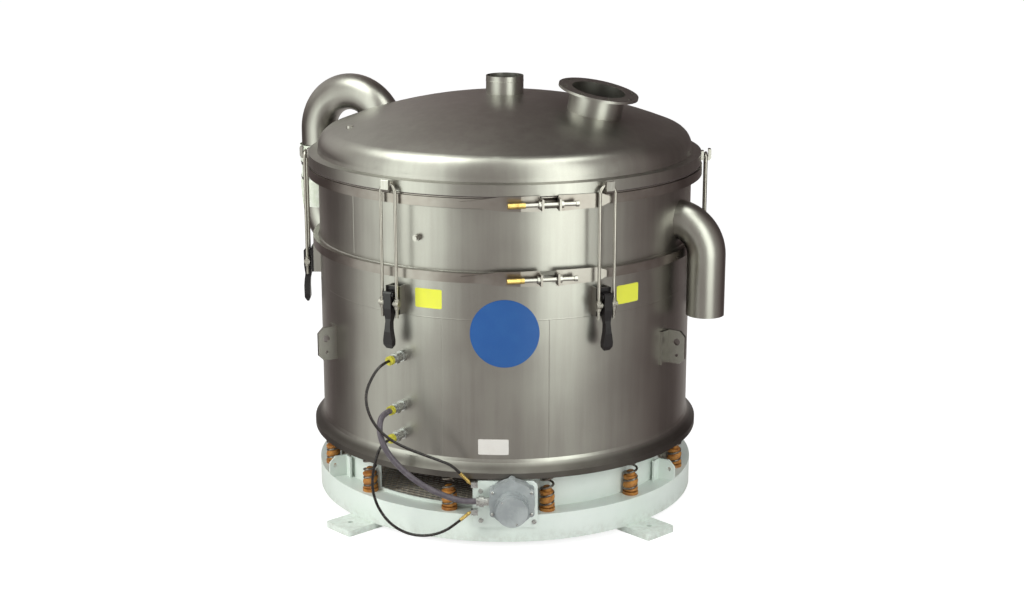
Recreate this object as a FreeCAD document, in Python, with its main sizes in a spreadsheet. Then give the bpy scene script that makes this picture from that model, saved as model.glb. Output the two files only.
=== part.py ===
import FreeCAD, Part
import math
import os
import re
import Sketcher

# Round vibrating sieve, 60 inch class: a sprung screening body on a ring base.
# Frame: the machine's vertical axis is Z, the feet stand on z = 0, and the side
# with the junction box and the toggle handles faces -Y.  Angles round the machine
# are counted from -Y towards +X, so a seed built along +X belongs to 90 degrees.

Vector = FreeCAD.Vector
Z_AXIS = Vector(0, 0, 1)

# Driving dimensions, millimetres and degrees.
SIZES = {
    # base
    "foot_thick": 25, "foot_width": 150, "foot_root": 660, "foot_reach": 907,
    "foot_hole_radius": 11, "foot_circle_radius": 840, "foot_corner": 12,
    "ring_radius": 783, "ring_top": 134, "ledge_inner": 703, "ring_plate": 6,
    "inner_wall_top": 281, "window_low": 146, "window_high": 268,
    "guard_radius": 697, "guard_thick": 4, "guard_rim": 24, "guard_bar": 8,
    "tab_height": 86, "tab_root": 716, "tab_reach": 796, "tab_plate": 8,
    # suspension
    "spring_circle": 735, "spring_count": 12, "spring_mean_radius": 24.5,
    "spring_wire": 9, "spring_low": 146, "spring_high": 291, "spring_turns": 4.75,
    "seat_radius": 31, "cushion_radius": 18, "cushion_top": 226,
    # frames of the screening body
    "shell_radius": 762, "shell_gauge": 4, "lip_radius": 800, "lip_low": 287,
    "floor_low": 303, "floor_inner": 690, "lower_frame_top": 1072,
    "screen_level": 1079, "middle_frame_top": 1361, "seat_ring_top": 1386,
    "lower_ring_radius": 790, "lower_ring_level": 1075.5,
    "upper_ring_radius": 805, "upper_ring_level": 1363, "ring_half_height": 18,
    "flange_inset": 12, "flange_root": 28, "flange_edge": 8.5, "flange_rise": 20.5,
    "ring_lip": 22, "ring_lip_tip": 16, "ring_lip_root": 10,
    # lid
    "band_radius": 801, "band_low": 1390, "band_high": 1433, "dome_gauge": 4,
    "dome_top": 1661, "crown_radius": 1935, "knuckle_radius": 82, "knuckle_level": 1450,
    # pipework
    "pipe_radius": 76.2, "pipe_gauge": 3, "inlet_top": 1733,
    "neck_radius": 109.5, "flange_radius": 160, "flange_plate": 10, "nozzle_height": 89,
    "flange_hole_circle": 140, "flange_hole_radius": 9.5, "nozzle_place": 412,
    "vent_place": 920, "vent_bend_radius": 175, "vent_centre": 1440,
    "sleeve_low": 1109, "sleeve_high": 1377, "sleeve_gauge": 3.3, "sleeve_cuff": 1308,
    "sleeve_bulge": 1218, "sleeve_lap": 70,
    "elbow_radius": 140, "elbow_turn_level": 1113, "spout_place": 874, "spout_bend_radius": 140,
    "spout_centre": 1066, "spout_end": 825, "rear_spout_centre": 828, "rear_spout_end": 795,
    # drive
    "mount_level": 560, "mount_thick": 12, "mount_bore": 165, "motor_radius": 162,
    "motor_flange_radius": 205, "motor_low": 372, "motor_high": 785,
    "shaft_radius": 30, "rotor_radius": 50, "bearing_radius": 60, "fit_gap": 0.05,
    "weight_radius": 200, "weight_thick": 42, "upper_weight_level": 800,
    "lower_weight_level": 308,
    # toggle clamps
    "pivot_place": 823, "pivot_level": 992, "pivot_radius": 6,
    "trunnion_place": 820.5, "trunnion_level": 960, "trunnion_radius": 8,
    "rod_radius": 6.35, "rod_spacing": 66, "bail_top": 1418, "bail_low": 905,
    "clamp_low": 913, "clamp_high": 1022, "stand_off": 795, "clamp_plate": 8,
    "clamp_width": 60, "hook_reach": 842, "hook_width": 34,
    # lifting lugs
    "lug_low": 642, "lug_high": 777, "lug_reach": 842, "lug_plate": 12,
    # service glands and junction plate
    "gland_reach": 852, "gland_radius": 17, "plate_face": 791.3, "plate_width": 250,
    "plate_low": 89, "plate_high": 280, "box_radius": 88, "box_level": 208,
    "box_face": 848, "cover_radius": 60, "cover_level": 190, "cover_face": 900,
}

# Places round the machine, degrees.
FOOT_ANGLES = (45, 135, 225, 315)
SPRING_ANGLES = tuple(15 + 30 * place for place in range(12))
CLAMP_ANGLES = (30, 90, 150, -150, -90, -30)
LUG_ANGLES = (60, -60, 165)
WINDOWS = ((-43, 5), (64.6, 112), (-109, -61.4), (154, 206))
TAB_ANGLES = (62, -62, 122, -122)
VENT_ANGLE = -117
SPOUT_ANGLE = 68
REAR_SPOUT_ANGLE = 180
NOZZLE_ANGLE = 61.5
PLATE_ANGLE = 2.2
GLAND_ANGLE = -29
GLAND_LEVELS = (740, 541, 427)
RING_GAP_ANGLE = 14

# Routes of the hoses between the shell's glands and the junction plate.
UPPER_HOSE = ((-413.1, -745.2, 740), (-432.5, -780.2, 740), (-460.3, -811.4, 716.6), (-491, -836.7, 655.5),
              (-492.2, -851, 602.2), (-474, -861, 548), (-441, -868, 501), (-394, -869, 463),
              (-341, -866, 433.5), (-289, -861.5, 411), (-242, -855, 391), (-204.6, -846.5, 374),
              (-168.2, -833.3, 353.2), (-141.3, -821.9, 320.3))
LOWER_HOSE = ((-413.1, -745.2, 427), (-432.5, -780.2, 427), (-450, -811, 408), (-462, -828, 372),
              (-474, -827, 318), (-481, -800, 250), (-472, -779, 186), (-453.9, -768, 139),
              (-426.5, -771.4, 101.7), (-388.9, -781.4, 74), (-341.8, -796.2, 58.5), (-290.9, -812, 57.6),
              (-243.7, -824.4, 68.2), (-206.6, -829.7, 84), (-172.4, -828, 104.2), (-141.4, -817.9, 127.3))
CONDUIT = ((-413.1, -745.2, 541), (-436.3, -787.1, 541), (-445, -828, 517), (-441, -852, 477),
           (-420, -863, 424), (-383.1, -860, 372), (-344.7, -854.6, 329.8), (-304.9, -849, 295),
           (-262.8, -842.7, 265.6), (-215.9, -836.2, 239.8), (-165.8, -830.8, 218.7), (-123.3, -828.34, 208),
           (-79.33, -826.65, 208))
HOSE_RADIUS = 5.5
CONDUIT_RADIUS = 11.5

os.makedirs("parts", exist_ok=True)
doc = FreeCAD.newDocument("VibratingSieve")
sheet = doc.addObject("Spreadsheet::Sheet", "Sizes")
for row, (alias, amount) in enumerate(SIZES.items(), 1):
    sheet.set("A%d" % row, alias)
    sheet.set("B%d" % row, str(amount))
    sheet.setAlias("B%d" % row, alias)
doc.recompute()

PARTS = []


def size(alias):
    """The driving dimension as the sheet holds it."""
    return float(sheet.get(alias))


def linked(text):
    """An expression in which every plain word is a cell of the sheet."""
    return re.sub(r"[a-z][a-z0-9_]*(?!\()\b", lambda word: "Sizes." + word.group(0), str(text))


def bind(item, **expressions):
    """Bind properties of an object to expressions on the sheet."""
    for name, text in expressions.items():
        item.setExpression(name, linked(text))
    return item


def turned_place(angle, seed_angle=90):
    """Placement that turns a seed from its own angle to another one round the machine."""
    return FreeCAD.Placement(Vector(), FreeCAD.Rotation(Z_AXIS, angle - seed_angle))


def part(item, label):
    """Mark an object as one of the sub-parts, under the name of its file."""
    item.Label = label
    PARTS.append(item)
    return item


def origin_feature(body, role):
    """A plane or axis of a body's own origin."""
    return [item for item in body.Origin.OriginFeatures if item.Role == role][0]


def outline(body, name, plane, corners):
    """A closed sketch whose corners are pairs of expressions."""
    sketch = body.newObject("Sketcher::SketchObject", name)
    sketch.AttachmentSupport = (origin_feature(body, plane), "")
    sketch.MapMode = "FlatFace"
    count = len(corners)
    first = [Vector(100 * math.cos(2 * math.pi * k / count), 100 * math.sin(2 * math.pi * k / count), 0)
             for k in range(count)]
    for k in range(count):
        sketch.addGeometry(Part.LineSegment(first[k], first[(k + 1) % count]), False)
    for k in range(count):
        sketch.addConstraint(Sketcher.Constraint("Coincident", k, 2, (k + 1) % count, 1))
    for k, corner in enumerate(corners):
        for kind, text in zip(("DistanceX", "DistanceY"), corner):
            place = sketch.addConstraint(Sketcher.Constraint(kind, -1, 1, k, 1, 1.0))
            sketch.setExpression("Constraints[%d]" % place, linked(text))
    return sketch


def revolved(name, corners, sweep=360):
    """A body turned round Z from an outline of (radius, height) corners."""
    body = doc.addObject("PartDesign::Body", name)
    sketch = outline(body, name + "_profile", "XZ_Plane", corners)
    turn = body.newObject("PartDesign::Revolution", name + "_turn")
    turn.Profile = sketch
    turn.ReferenceAxis = (sketch, ["V_Axis"])
    turn.Angle = sweep
    return body


def padded(name, plane, corners, length):
    """A body padded by half its length to each side of an origin plane."""
    body = doc.addObject("PartDesign::Body", name)
    sketch = outline(body, name + "_outline", plane, corners)
    pad = body.newObject("PartDesign::Pad", name + "_pad")
    pad.Profile = sketch
    pad.Midplane = True
    bind(pad, Length=length)
    return body


def rounded(body, direction, radius, chosen=None):
    """Fillet the edges of a body that run along a direction."""
    doc.recompute()
    tip = body.Tip
    names = []
    for number, edge in enumerate(tip.Shape.Edges, 1):
        if len(edge.Vertexes) != 2 or not isinstance(edge.Curve, Part.Line):
            continue
        along = (edge.Vertexes[1].Point - edge.Vertexes[0].Point).normalize()
        if abs(along.dot(direction)) > 0.999 and (chosen is None or chosen(edge.CenterOfMass)):
            names.append("Edge%d" % number)
    fillet = body.newObject("PartDesign::Fillet", body.Name + "_fillet")
    fillet.Base = (tip, names)
    bind(fillet, Radius=radius)
    return body


def cylinder(name, radius, height, place=Vector(), axis=Z_AXIS, sweep=None):
    """A cylinder bound to the sheet, from a point along an axis."""
    item = doc.addObject("Part::Cylinder", name)
    bind(item, Radius=radius, Height=height)
    if sweep is not None:
        item.Angle = sweep
    item.Placement = FreeCAD.Placement(place, FreeCAD.Rotation(Z_AXIS, axis))
    return item


def block(name, length, width, height, corner):
    """A box bound to the sheet, from its lowest corner."""
    item = doc.addObject("Part::Box", name)
    bind(item, Length=length, Width=width, Height=height)
    item.Placement.Base = corner
    return item


def cut(name, base, *tools):
    """The base without its tools."""
    item = doc.addObject("Part::Cut", name)
    item.Base = base
    item.Tool = tools[0] if len(tools) == 1 else fused(name + "_tools", *tools)
    return item


def fused(name, *shapes):
    """One solid out of several that touch."""
    item = doc.addObject("Part::MultiFuse", name)
    item.Shapes = list(shapes)
    return item


def common(name, base, tool):
    """What two solids share."""
    item = doc.addObject("Part::Common", name)
    item.Base = base
    item.Tool = tool
    return item


def copies(name, seed, places):
    """Copies of a seed at several placements, kept as separate solids."""
    links = []
    for number, place in enumerate(places):
        link = doc.addObject("App::Link", "%s_%d" % (name, number))
        link.LinkedObject = seed
        link.Placement = place
        links.append(link)
    item = doc.addObject("Part::Compound", name)
    item.Links = links
    return item


def round_machine(name, seed, angles):
    """Copies of a seed built along +X, at several angles round the machine."""
    return copies(name, seed, [turned_place(angle) for angle in angles])


def shape_part(label, shape, place=FreeCAD.Placement()):
    """A sub-part whose shape is worked out here."""
    item = doc.addObject("Part::Feature", label)
    item.Shape = shape
    item.Placement = place.multiply(item.Placement)
    return part(item, label)


def polar(radius, angle, height):
    """A point at a radius and an angle round the machine."""
    turn = math.radians(angle)
    return Vector(radius * math.sin(turn), -radius * math.cos(turn), height)


# ---------------------------------------------------------------- shared cutting tools

shell_solid = cylinder("shell_solid", "shell_radius", "middle_frame_top", Vector(0, 0, 0))
shell_core = cylinder("shell_core", "shell_radius - shell_gauge", "middle_frame_top")


def dome_solid(name, gauge, low):
    """The lid's outer form, thinner by a gauge all over, closed below at a height."""
    crown = size("crown_radius") - gauge
    knuckle = size("knuckle_radius") - gauge
    level = size("knuckle_level")
    crown_centre = size("dome_top") - size("crown_radius")
    side = size("shell_radius") - size("knuckle_radius")
    slope = math.atan2(side, level - crown_centre)
    half_slope = slope / 2
    joint = Vector(crown * math.sin(slope), crown_centre + crown * math.cos(slope), 0)
    turn = (math.pi / 2 - slope) / 2
    knuckle_mid = Vector(side + knuckle * math.cos(turn), level + knuckle * math.sin(turn), 0)
    crown_mid = Vector(crown * math.sin(half_slope), crown_centre + crown * math.cos(half_slope), 0)
    apex = Vector(0, crown_centre + crown, 0)
    foot = Vector(side + knuckle, level, 0)
    band = Vector(size("band_radius") - gauge, size("band_high") - gauge, 0)
    corners = [foot, Vector(foot.x + 4, band.y + 3, 0), band, Vector(band.x, low, 0), Vector(0, low, 0), apex]
    edges = [Part.LineSegment(a, b) for a, b in zip(corners, corners[1:])]
    edges.append(Part.Arc(apex, crown_mid, joint))
    edges.append(Part.Arc(joint, knuckle_mid, foot))
    wire = Part.Wire(Part.__sortEdges__([edge.toShape() for edge in edges]))
    face = Part.Face(wire)
    face.rotate(Vector(), Vector(1, 0, 0), 90)
    item = doc.addObject("Part::Feature", name)
    item.Shape = face.revolve(Vector(), Z_AXIS, 360)
    return item


def arc_pipe(radius, points, bend):
    """A solid rod along straight runs joined by one tangent arc at each inner point."""
    edges = []
    last = points[0]
    for before, corner, after, reach in zip(points, points[1:], points[2:], bend):
        back = (before - corner).normalize()
        ahead = (after - corner).normalize()
        start = corner + back * reach
        end = corner + ahead * reach
        half = back.getAngle(ahead) / 2
        centre = corner + (back + ahead).normalize() * (reach / math.cos(half))
        middle = centre + (corner - centre).normalize() * (reach * math.tan(half))
        if (start - last).Length > 0.01:
            edges.append(Part.LineSegment(last, start).toShape())
        edges.append(Part.Arc(start, middle, end).toShape())
        last = end
    if (points[-1] - last).Length > 0.01:
        edges.append(Part.LineSegment(last, points[-1]).toShape())
    path = Part.Wire(edges)
    section = Part.Wire([Part.makeCircle(radius, points[0], points[1] - points[0])])
    return path.makePipeShell([section], True, False), path.Length


def pipe(points, bend, outer, gauge):
    """A round duct along a path: its wall and its bore as two solids."""
    wall = arc_pipe(outer, points, bend)[0]
    bore = arc_pipe(outer - gauge, points, bend)[0]
    return wall, bore


def hidden(name, shape):
    """A shape that other objects use."""
    item = doc.addObject("Part::Feature", name)
    item.Shape = shape
    return item


# ---------------------------------------------------------------- base

ring = revolved("ring_wall", [
    ("ring_radius", "foot_thick"), ("ring_radius", "ring_top"), ("ledge_inner", "ring_top"),
    ("ledge_inner", "inner_wall_top"), ("ledge_inner - ring_plate", "inner_wall_top"),
    ("ledge_inner - ring_plate", "ring_top - ring_plate"),
    ("ring_radius - ring_plate", "ring_top - ring_plate"),
    ("ring_radius - ring_plate", "foot_thick + ring_plate"),
    ("foot_root + 40", "foot_thick + ring_plate"), ("foot_root + 40", "foot_thick")])
window_cuts = []
for number, (start, end) in enumerate(WINDOWS):
    wedge = cylinder("window_%d" % number, "ledge_inner + 10", "window_high - window_low",
                     Vector(0, 0, size("window_low")), sweep=end - start)
    wedge.Placement.Rotation = FreeCAD.Rotation(Z_AXIS, start - 90)
    window_cuts.append(wedge)
part(cut("base_ring", ring, *window_cuts), "base_ring")

foot = doc.addObject("PartDesign::Body", "foot")
foot_sketch = outline(foot, "foot_outline", "XY_Plane", [
    ("foot_root", "0 - foot_width / 2"), ("foot_reach", "0 - foot_width / 2"),
    ("foot_reach", "foot_width / 2"), ("foot_root", "foot_width / 2")])
foot_pad = foot.newObject("PartDesign::Pad", "foot_pad")
foot_pad.Profile = foot_sketch
bind(foot_pad, Length="foot_thick")
rounded(foot, Z_AXIS, "foot_corner")
foot_bore = cylinder("foot_bore", "foot_hole_radius", "foot_thick", Vector(size("foot_circle_radius"), 0, 0))
part(round_machine("mounting_feet", cut("foot_plate", foot, foot_bore), FOOT_ANGLES), "mounting_feet")


def guard_shape():
    """Expanded-metal guard: a flat ring crossed by two sets of slanting bars."""
    outer = size("guard_radius")
    thick = size("guard_thick")
    low = Vector(0, 0, size("ring_top") - size("ring_plate"))
    disc = Part.makeCylinder(outer, thick, low)
    rim = disc.cut(Part.makeCylinder(outer - size("guard_rim"), thick, low))
    bars = []
    step = 2 * outer / 9
    for slant in (22, -22):
        for place in range(-4, 5):
            bar = Part.makeBox(2 * outer, size("guard_bar"), thick,
                               Vector(-outer, place * step - size("guard_bar") / 2, low.z))
            bar.rotate(Vector(), Z_AXIS, slant)
            bars.append(bar.common(disc))
    return rim.multiFuse(bars).removeSplitter()


shape_part("spring_guard", guard_shape())

tab_leg = padded("tab_leg", "XZ_Plane", [
    ("tab_root", "ring_top"), ("tab_reach - 14", "ring_top"), ("tab_reach", "ring_top + 14"),
    ("tab_reach", "ring_top + tab_height - 26"), ("tab_reach - 26", "ring_top + tab_height"),
    ("tab_root", "ring_top + tab_height")], "tab_plate")
tab_hole = cylinder("tab_hole", "tab_plate", "tab_plate * 2",
                    Vector(773, -size("tab_plate"), size("ring_top") + 48), Vector(0, 1, 0))
tab_wing = block("tab_wing", "tab_plate", "44", "tab_height",
                 Vector(size("tab_root"), -44, size("ring_top")))
tab_right = fused("tab_right", cut("tab_drilled", tab_leg, tab_hole), tab_wing)
tab_left = doc.addObject("Part::Mirroring", "tab_left")
tab_left.Source = tab_right
tab_left.Normal = Vector(0, 1, 0)
tabs = doc.addObject("Part::Compound", "tie_down_tabs")
tabs.Links = [round_machine("right_tabs", tab_right, TAB_ANGLES[::3]),
              round_machine("left_tabs", tab_left, TAB_ANGLES[1:3])]
part(tabs, "tie_down_tabs")

# ---------------------------------------------------------------- suspension


def coil_shape():
    """A compression spring of mitred straight bars round a helix, its ends ground flat."""
    turns = size("spring_turns")
    wire = size("spring_wire")
    radius = size("spring_mean_radius")
    low = size("spring_low") + 1.5
    high = size("spring_high") - 1.5
    steps = int(turns * 10)
    points = []
    for step in range(steps + 1):
        turn = 2 * math.pi * turns * step / steps
        points.append(Vector(radius * math.cos(turn), radius * math.sin(turn), low + (high - low) * step / steps))
    heading = (points[1] - points[0]).normalize()
    outward = Vector(1, 0, 0)
    outward = (outward - heading * heading.dot(outward)).normalize()
    upward = heading.cross(outward).normalize()
    half = wire / 2 * 0.86
    corners = [points[0] + outward * a * half + upward * b * half for a, b in ((1, 1), (-1, 1), (-1, -1), (1, -1))]
    section = Part.makePolygon(corners + corners[:1])
    wound = Part.makePolygon(points).makePipeShell([section], True, False, 1)
    room = Part.makeCylinder(radius + wire, size("spring_high") - size("spring_low"),
                             Vector(0, 0, size("spring_low")))
    return wound.common(room)


coil = coil_shape()
springs = []
for angle in SPRING_ANGLES:
    spring = coil.copy()
    spring.translate(polar(size("spring_circle"), angle, 0))
    springs.append(spring)
shape_part("suspension_springs", Part.makeCompound(springs))

seat = revolved("seat", [
    ("0", "ring_top"), ("seat_radius", "ring_top"), ("seat_radius", "spring_low"),
    ("cushion_radius", "spring_low"), ("cushion_radius", "cushion_top"),
    ("cushion_radius - 6", "cushion_top + 6"), ("0", "cushion_top + 6")])
cap = revolved("cap", [
    ("0", "floor_low"), ("seat_radius", "floor_low"), ("seat_radius", "spring_high"),
    ("cushion_radius - 2", "spring_high"), ("cushion_radius - 6", "spring_high - 22"),
    ("0", "spring_high - 22")])
spring_places = [FreeCAD.Placement(polar(size("spring_circle"), angle, 0), FreeCAD.Rotation())
                 for angle in SPRING_ANGLES]
part(copies("spring_seats", seat, spring_places), "spring_seats")
part(copies("spring_caps", cap, spring_places), "spring_caps")

# ---------------------------------------------------------------- frames of the body

lower_wall = revolved("lower_wall", [
    ("floor_inner", "floor_low"), ("lip_radius - 6", "floor_low"), ("lip_radius - 6", "lip_low"),
    ("lip_radius", "lip_low"), ("lip_radius", "floor_low + 8"), ("lip_radius - 10", "floor_low + 17"),
    ("shell_radius + 6", "floor_low + 41"), ("shell_radius", "floor_low + 53"),
    ("shell_radius", "lower_ring_level - flange_rise"),
    ("lower_ring_radius - flange_inset", "lower_ring_level - flange_edge"),
    ("lower_ring_radius - flange_inset", "lower_frame_top"), ("shell_radius - shell_gauge", "lower_frame_top"),
    ("shell_radius - shell_gauge", "floor_low + 12"), ("floor_inner", "floor_low + 12")])
middle_wall = revolved("middle_wall", [
    ("shell_radius - shell_gauge", "screen_level"), ("lower_ring_radius - flange_inset", "screen_level"),
    ("lower_ring_radius - flange_inset", "lower_ring_level + flange_edge"),
    ("shell_radius", "lower_ring_level + flange_rise"), ("shell_radius", "upper_ring_level - flange_rise - 8"),
    ("upper_ring_radius - flange_root", "upper_ring_level - flange_rise"),
    ("upper_ring_radius - flange_inset", "upper_ring_level - flange_edge"),
    ("upper_ring_radius - flange_inset", "middle_frame_top"),
    ("shell_radius - shell_gauge", "middle_frame_top")])
part(revolved("lid_seat_ring", [
    ("shell_radius - shell_gauge", "middle_frame_top + 4"),
    ("upper_ring_radius - flange_inset", "middle_frame_top + 4"),
    ("upper_ring_radius - flange_inset", "upper_ring_level + flange_edge"),
    ("upper_ring_radius - flange_root + 3", "upper_ring_level + flange_rise - 2.25"),
    ("upper_ring_radius - flange_root + 3", "seat_ring_top - 4"),
    ("band_radius - 3", "seat_ring_top - 4"), ("band_radius - 3", "seat_ring_top"),
    ("shell_radius - shell_gauge", "seat_ring_top")]), "lid_seat_ring")

lid_gasket = revolved("lid_gasket", [
    ("shell_radius + 8", "seat_ring_top"), ("band_radius - 1", "seat_ring_top"),
    ("band_radius - 1", "band_low"), ("shell_radius + 8", "band_low")])
seat_gasket = revolved("seat_gasket", [
    ("shell_radius", "middle_frame_top"), ("upper_ring_radius - flange_inset - 2", "middle_frame_top"),
    ("upper_ring_radius - flange_inset - 2", "middle_frame_top + 4"), ("shell_radius", "middle_frame_top + 4")])
screen_gasket = revolved("screen_gasket", [
    ("shell_radius - 2", "lower_frame_top"), ("lower_ring_radius - flange_inset - 2", "lower_frame_top"),
    ("lower_ring_radius - flange_inset - 2", "lower_frame_top + 3"), ("shell_radius - 2", "lower_frame_top + 3")])
gaskets = doc.addObject("Part::Compound", "joint_gaskets")
gaskets.Links = [lid_gasket, seat_gasket, screen_gasket]
part(gaskets, "joint_gaskets")

part(revolved("screen_ring", [
    ("shell_radius - 24", "lower_frame_top - 12"), ("shell_radius - 7", "lower_frame_top - 12"),
    ("shell_radius - 7", "lower_frame_top + 3"), ("lower_ring_radius - flange_inset - 2", "lower_frame_top + 3"),
    ("lower_ring_radius - flange_inset - 2", "screen_level"), ("shell_radius - 24", "screen_level")]),
     "screen_ring")
part(cylinder("screen_cloth", "shell_radius - 10", "1.5", Vector(0, 0, size("screen_level"))), "screen_cloth")
part(revolved("discharge_pan", [
    ("0", "lower_frame_top - 80"), ("250", "lower_frame_top - 88"), ("520", "lower_frame_top - 118"),
    ("700", "lower_frame_top - 152"), ("shell_radius - shell_gauge", "lower_frame_top - 160"),
    ("shell_radius - shell_gauge", "lower_frame_top - 166"), ("700", "lower_frame_top - 158"),
    ("520", "lower_frame_top - 124"), ("250", "lower_frame_top - 94"), ("0", "lower_frame_top - 86")]),
     "discharge_pan")

# ---------------------------------------------------------------- clamp rings


def clamp_ring(label, radius, level):
    """A channel-section clamp ring, split at the front, with its two eared lug plates."""
    channel = revolved(label + "_channel", [
        (radius, "%s - ring_half_height" % level), (radius, "%s + ring_half_height" % level),
        ("%s - ring_lip" % radius, "%s + ring_half_height" % level),
        ("%s - ring_lip" % radius, "%s + ring_lip_tip" % level),
        ("%s - ring_lip + 8" % radius, "%s + ring_lip_root" % level),
        ("%s - 6" % radius, "%s + ring_lip_root" % level),
        ("%s - 6" % radius, "%s - ring_lip_root" % level),
        ("%s - ring_lip + 8" % radius, "%s - ring_lip_root" % level),
        ("%s - ring_lip" % radius, "%s - ring_lip_tip" % level),
        ("%s - ring_lip" % radius, "%s - ring_half_height" % level)])
    gap = block(label + "_gap", "120", "60", "ring_half_height * 4",
                Vector(size(radius) - 60, -30, size(level) - 2 * size("ring_half_height")))
    gap.Placement = turned_place(RING_GAP_ANGLE).multiply(gap.Placement)
    skin = cut(label + "_skin",
               cylinder(label + "_skin_outer", radius + " + 6", "200", Vector(0, 0, size(level) - 100)),
               cylinder(label + "_skin_inner", radius, "200", Vector(0, 0, size(level) - 100)))
    left = padded(label + "_left", "YZ_Plane", [
        ("0 - 148", "%s - 6" % level), ("0", "%s - 27" % level), ("148", "%s - 30" % level),
        ("148", "%s + 30" % level), ("0", "%s + 27" % level), ("0 - 148", "%s + 6" % level)], "2 * " + radius)
    left.Placement = turned_place(0.8)
    right = padded(label + "_right", "YZ_Plane", [
        ("0 - 107", "%s - 30" % level), ("60", "%s - 27" % level), ("107", "%s - 9" % level),
        ("107", "%s + 9" % level), ("60", "%s + 27" % level), ("0 - 107", "%s + 30" % level)], "2 * " + radius)
    right.Placement = turned_place(24)
    front = block(label + "_front", radius, "2 * " + radius, "200",
                  Vector(0, -size(radius), size(level) - 100))
    front.Placement = turned_place(12).multiply(front.Placement)
    plates = common(label + "_plates", common(label + "_bands", skin, fused(label + "_flats", left, right)), front)
    ears = []
    for side in (-37, 29):
        ear = block("%s_ear_%d" % (label, side + 50), "46", "8", "44",
                    Vector(size(radius) - 4, side, size(level) - 22))
        ear.Placement = turned_place(RING_GAP_ANGLE).multiply(ear.Placement)
        ears.append(ear)
    whole = fused(label + "_whole", cut(label + "_split", channel, gap), plates, *ears)
    bolt_line = cylinder(label + "_bolt_line", "8.5", "400",
                         Vector(size(radius) + 24, -200, size(level)), Vector(0, 1, 0))
    bolt_line.Placement = turned_place(RING_GAP_ANGLE).multiply(bolt_line.Placement)
    part(cut(label, whole, bolt_line), label)


def draw_bolt(level, radius):
    """The threaded draw bolt of a clamp ring, along the tangent at the ring's gap."""
    rod = Part.makeCylinder(8, 250, Vector(radius + 24, -150, level), Vector(0, 1, 0))
    collars = [Part.makeCylinder(14, 10, Vector(radius + 24, side, level), Vector(0, 1, 0)) for side in (-47, 37)]
    head = Part.makeCylinder(11, 12, Vector(radius + 24, 94, level), Vector(0, 1, 0))
    return rod.multiFuse(collars + [head])


def barrel_nut(level, radius):
    """The long brass nut on the draw bolt's end."""
    outer = Part.makeCylinder(11, 66, Vector(radius + 24, -163, level), Vector(0, 1, 0))
    return outer.cut(Part.makeCylinder(8, 53, Vector(radius + 24, -150, level), Vector(0, 1, 0)))


clamp_ring("clamp_ring_lower", "lower_ring_radius", "lower_ring_level")
clamp_ring("clamp_ring_upper", "upper_ring_radius", "upper_ring_level")
ring_places = ((size("lower_ring_level"), size("lower_ring_radius")),
               (size("upper_ring_level"), size("upper_ring_radius")))
shape_part("ring_draw_bolts", Part.makeCompound([draw_bolt(*place) for place in ring_places]),
           turned_place(RING_GAP_ANGLE))
shape_part("ring_barrel_nuts", Part.makeCompound([barrel_nut(*place) for place in ring_places]),
           turned_place(RING_GAP_ANGLE))

# ---------------------------------------------------------------- lid and pipework

dome_outer = dome_solid("dome_outer", 0, size("band_low"))
dome_inner = dome_solid("dome_inner", size("dome_gauge"), size("band_low"))
pipe_radius = size("pipe_radius")
pipe_gauge = size("pipe_gauge")

inlet_bore = cylinder("inlet_bore", "pipe_radius - pipe_gauge", "400", Vector(0, 0, 1500))
inlet_tube = cut("inlet_tube", cylinder("inlet_wall", "pipe_radius", "inlet_top - 1600", Vector(0, 0, 1600)),
                 inlet_bore)
part(cut("centre_inlet", inlet_tube, dome_outer), "centre_inlet")

nozzle_body = revolved("nozzle_body", [
    ("neck_radius - pipe_gauge", "0 - 60"), ("neck_radius", "0 - 60"),
    ("neck_radius", "nozzle_height - flange_plate"), ("flange_radius", "nozzle_height - flange_plate"),
    ("flange_radius", "nozzle_height"), ("neck_radius - pipe_gauge", "nozzle_height")])
doc.recompute()
hole_sketch = nozzle_body.newObject("Sketcher::SketchObject", "flange_hole_sketch")
hole_sketch.AttachmentSupport = (origin_feature(nozzle_body, "XY_Plane"), "")
hole_sketch.MapMode = "FlatFace"
hole_sketch.addGeometry(Part.Circle(Vector(140, 0, 0), Z_AXIS, 9), False)
hole_sketch.addConstraint(Sketcher.Constraint("PointOnObject", 0, 3, -1))
place = hole_sketch.addConstraint(Sketcher.Constraint("DistanceX", -1, 1, 0, 3, 140.0))
hole_sketch.setExpression("Constraints[%d]" % place, linked("flange_hole_circle"))
place = hole_sketch.addConstraint(Sketcher.Constraint("Radius", 0, 9.0))
hole_sketch.setExpression("Constraints[%d]" % place, linked("flange_hole_radius"))
flange_hole = nozzle_body.newObject("PartDesign::Pocket", "flange_hole")
flange_hole.Profile = hole_sketch
flange_hole.Type = 1
flange_hole.Midplane = True
doc.recompute()
flange_holes = nozzle_body.newObject("PartDesign::PolarPattern", "flange_holes")
flange_holes.Originals = [flange_hole]
flange_holes.Axis = (origin_feature(nozzle_body, "Z_Axis"), [""])
flange_holes.Angle = 360
flange_holes.Occurrences = 8
nozzle_body.Tip = flange_holes

crown_centre = size("dome_top") - size("crown_radius")
tilt = math.asin(size("nozzle_place") / size("crown_radius"))
nozzle_seat = Vector(size("nozzle_place"), 0, crown_centre + size("crown_radius") * math.cos(tilt))
nozzle_place = turned_place(NOZZLE_ANGLE).multiply(
    FreeCAD.Placement(nozzle_seat, FreeCAD.Rotation(Vector(0, 1, 0), math.degrees(tilt))))
nozzle_body.Placement = nozzle_place
part(cut("flanged_inlet", nozzle_body, dome_outer), "flanged_inlet")
nozzle_bore = cylinder("nozzle_bore", "neck_radius - pipe_gauge", "300")
nozzle_bore.Placement = nozzle_place.multiply(FreeCAD.Placement(Vector(0, 0, -150), FreeCAD.Rotation()))

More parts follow.
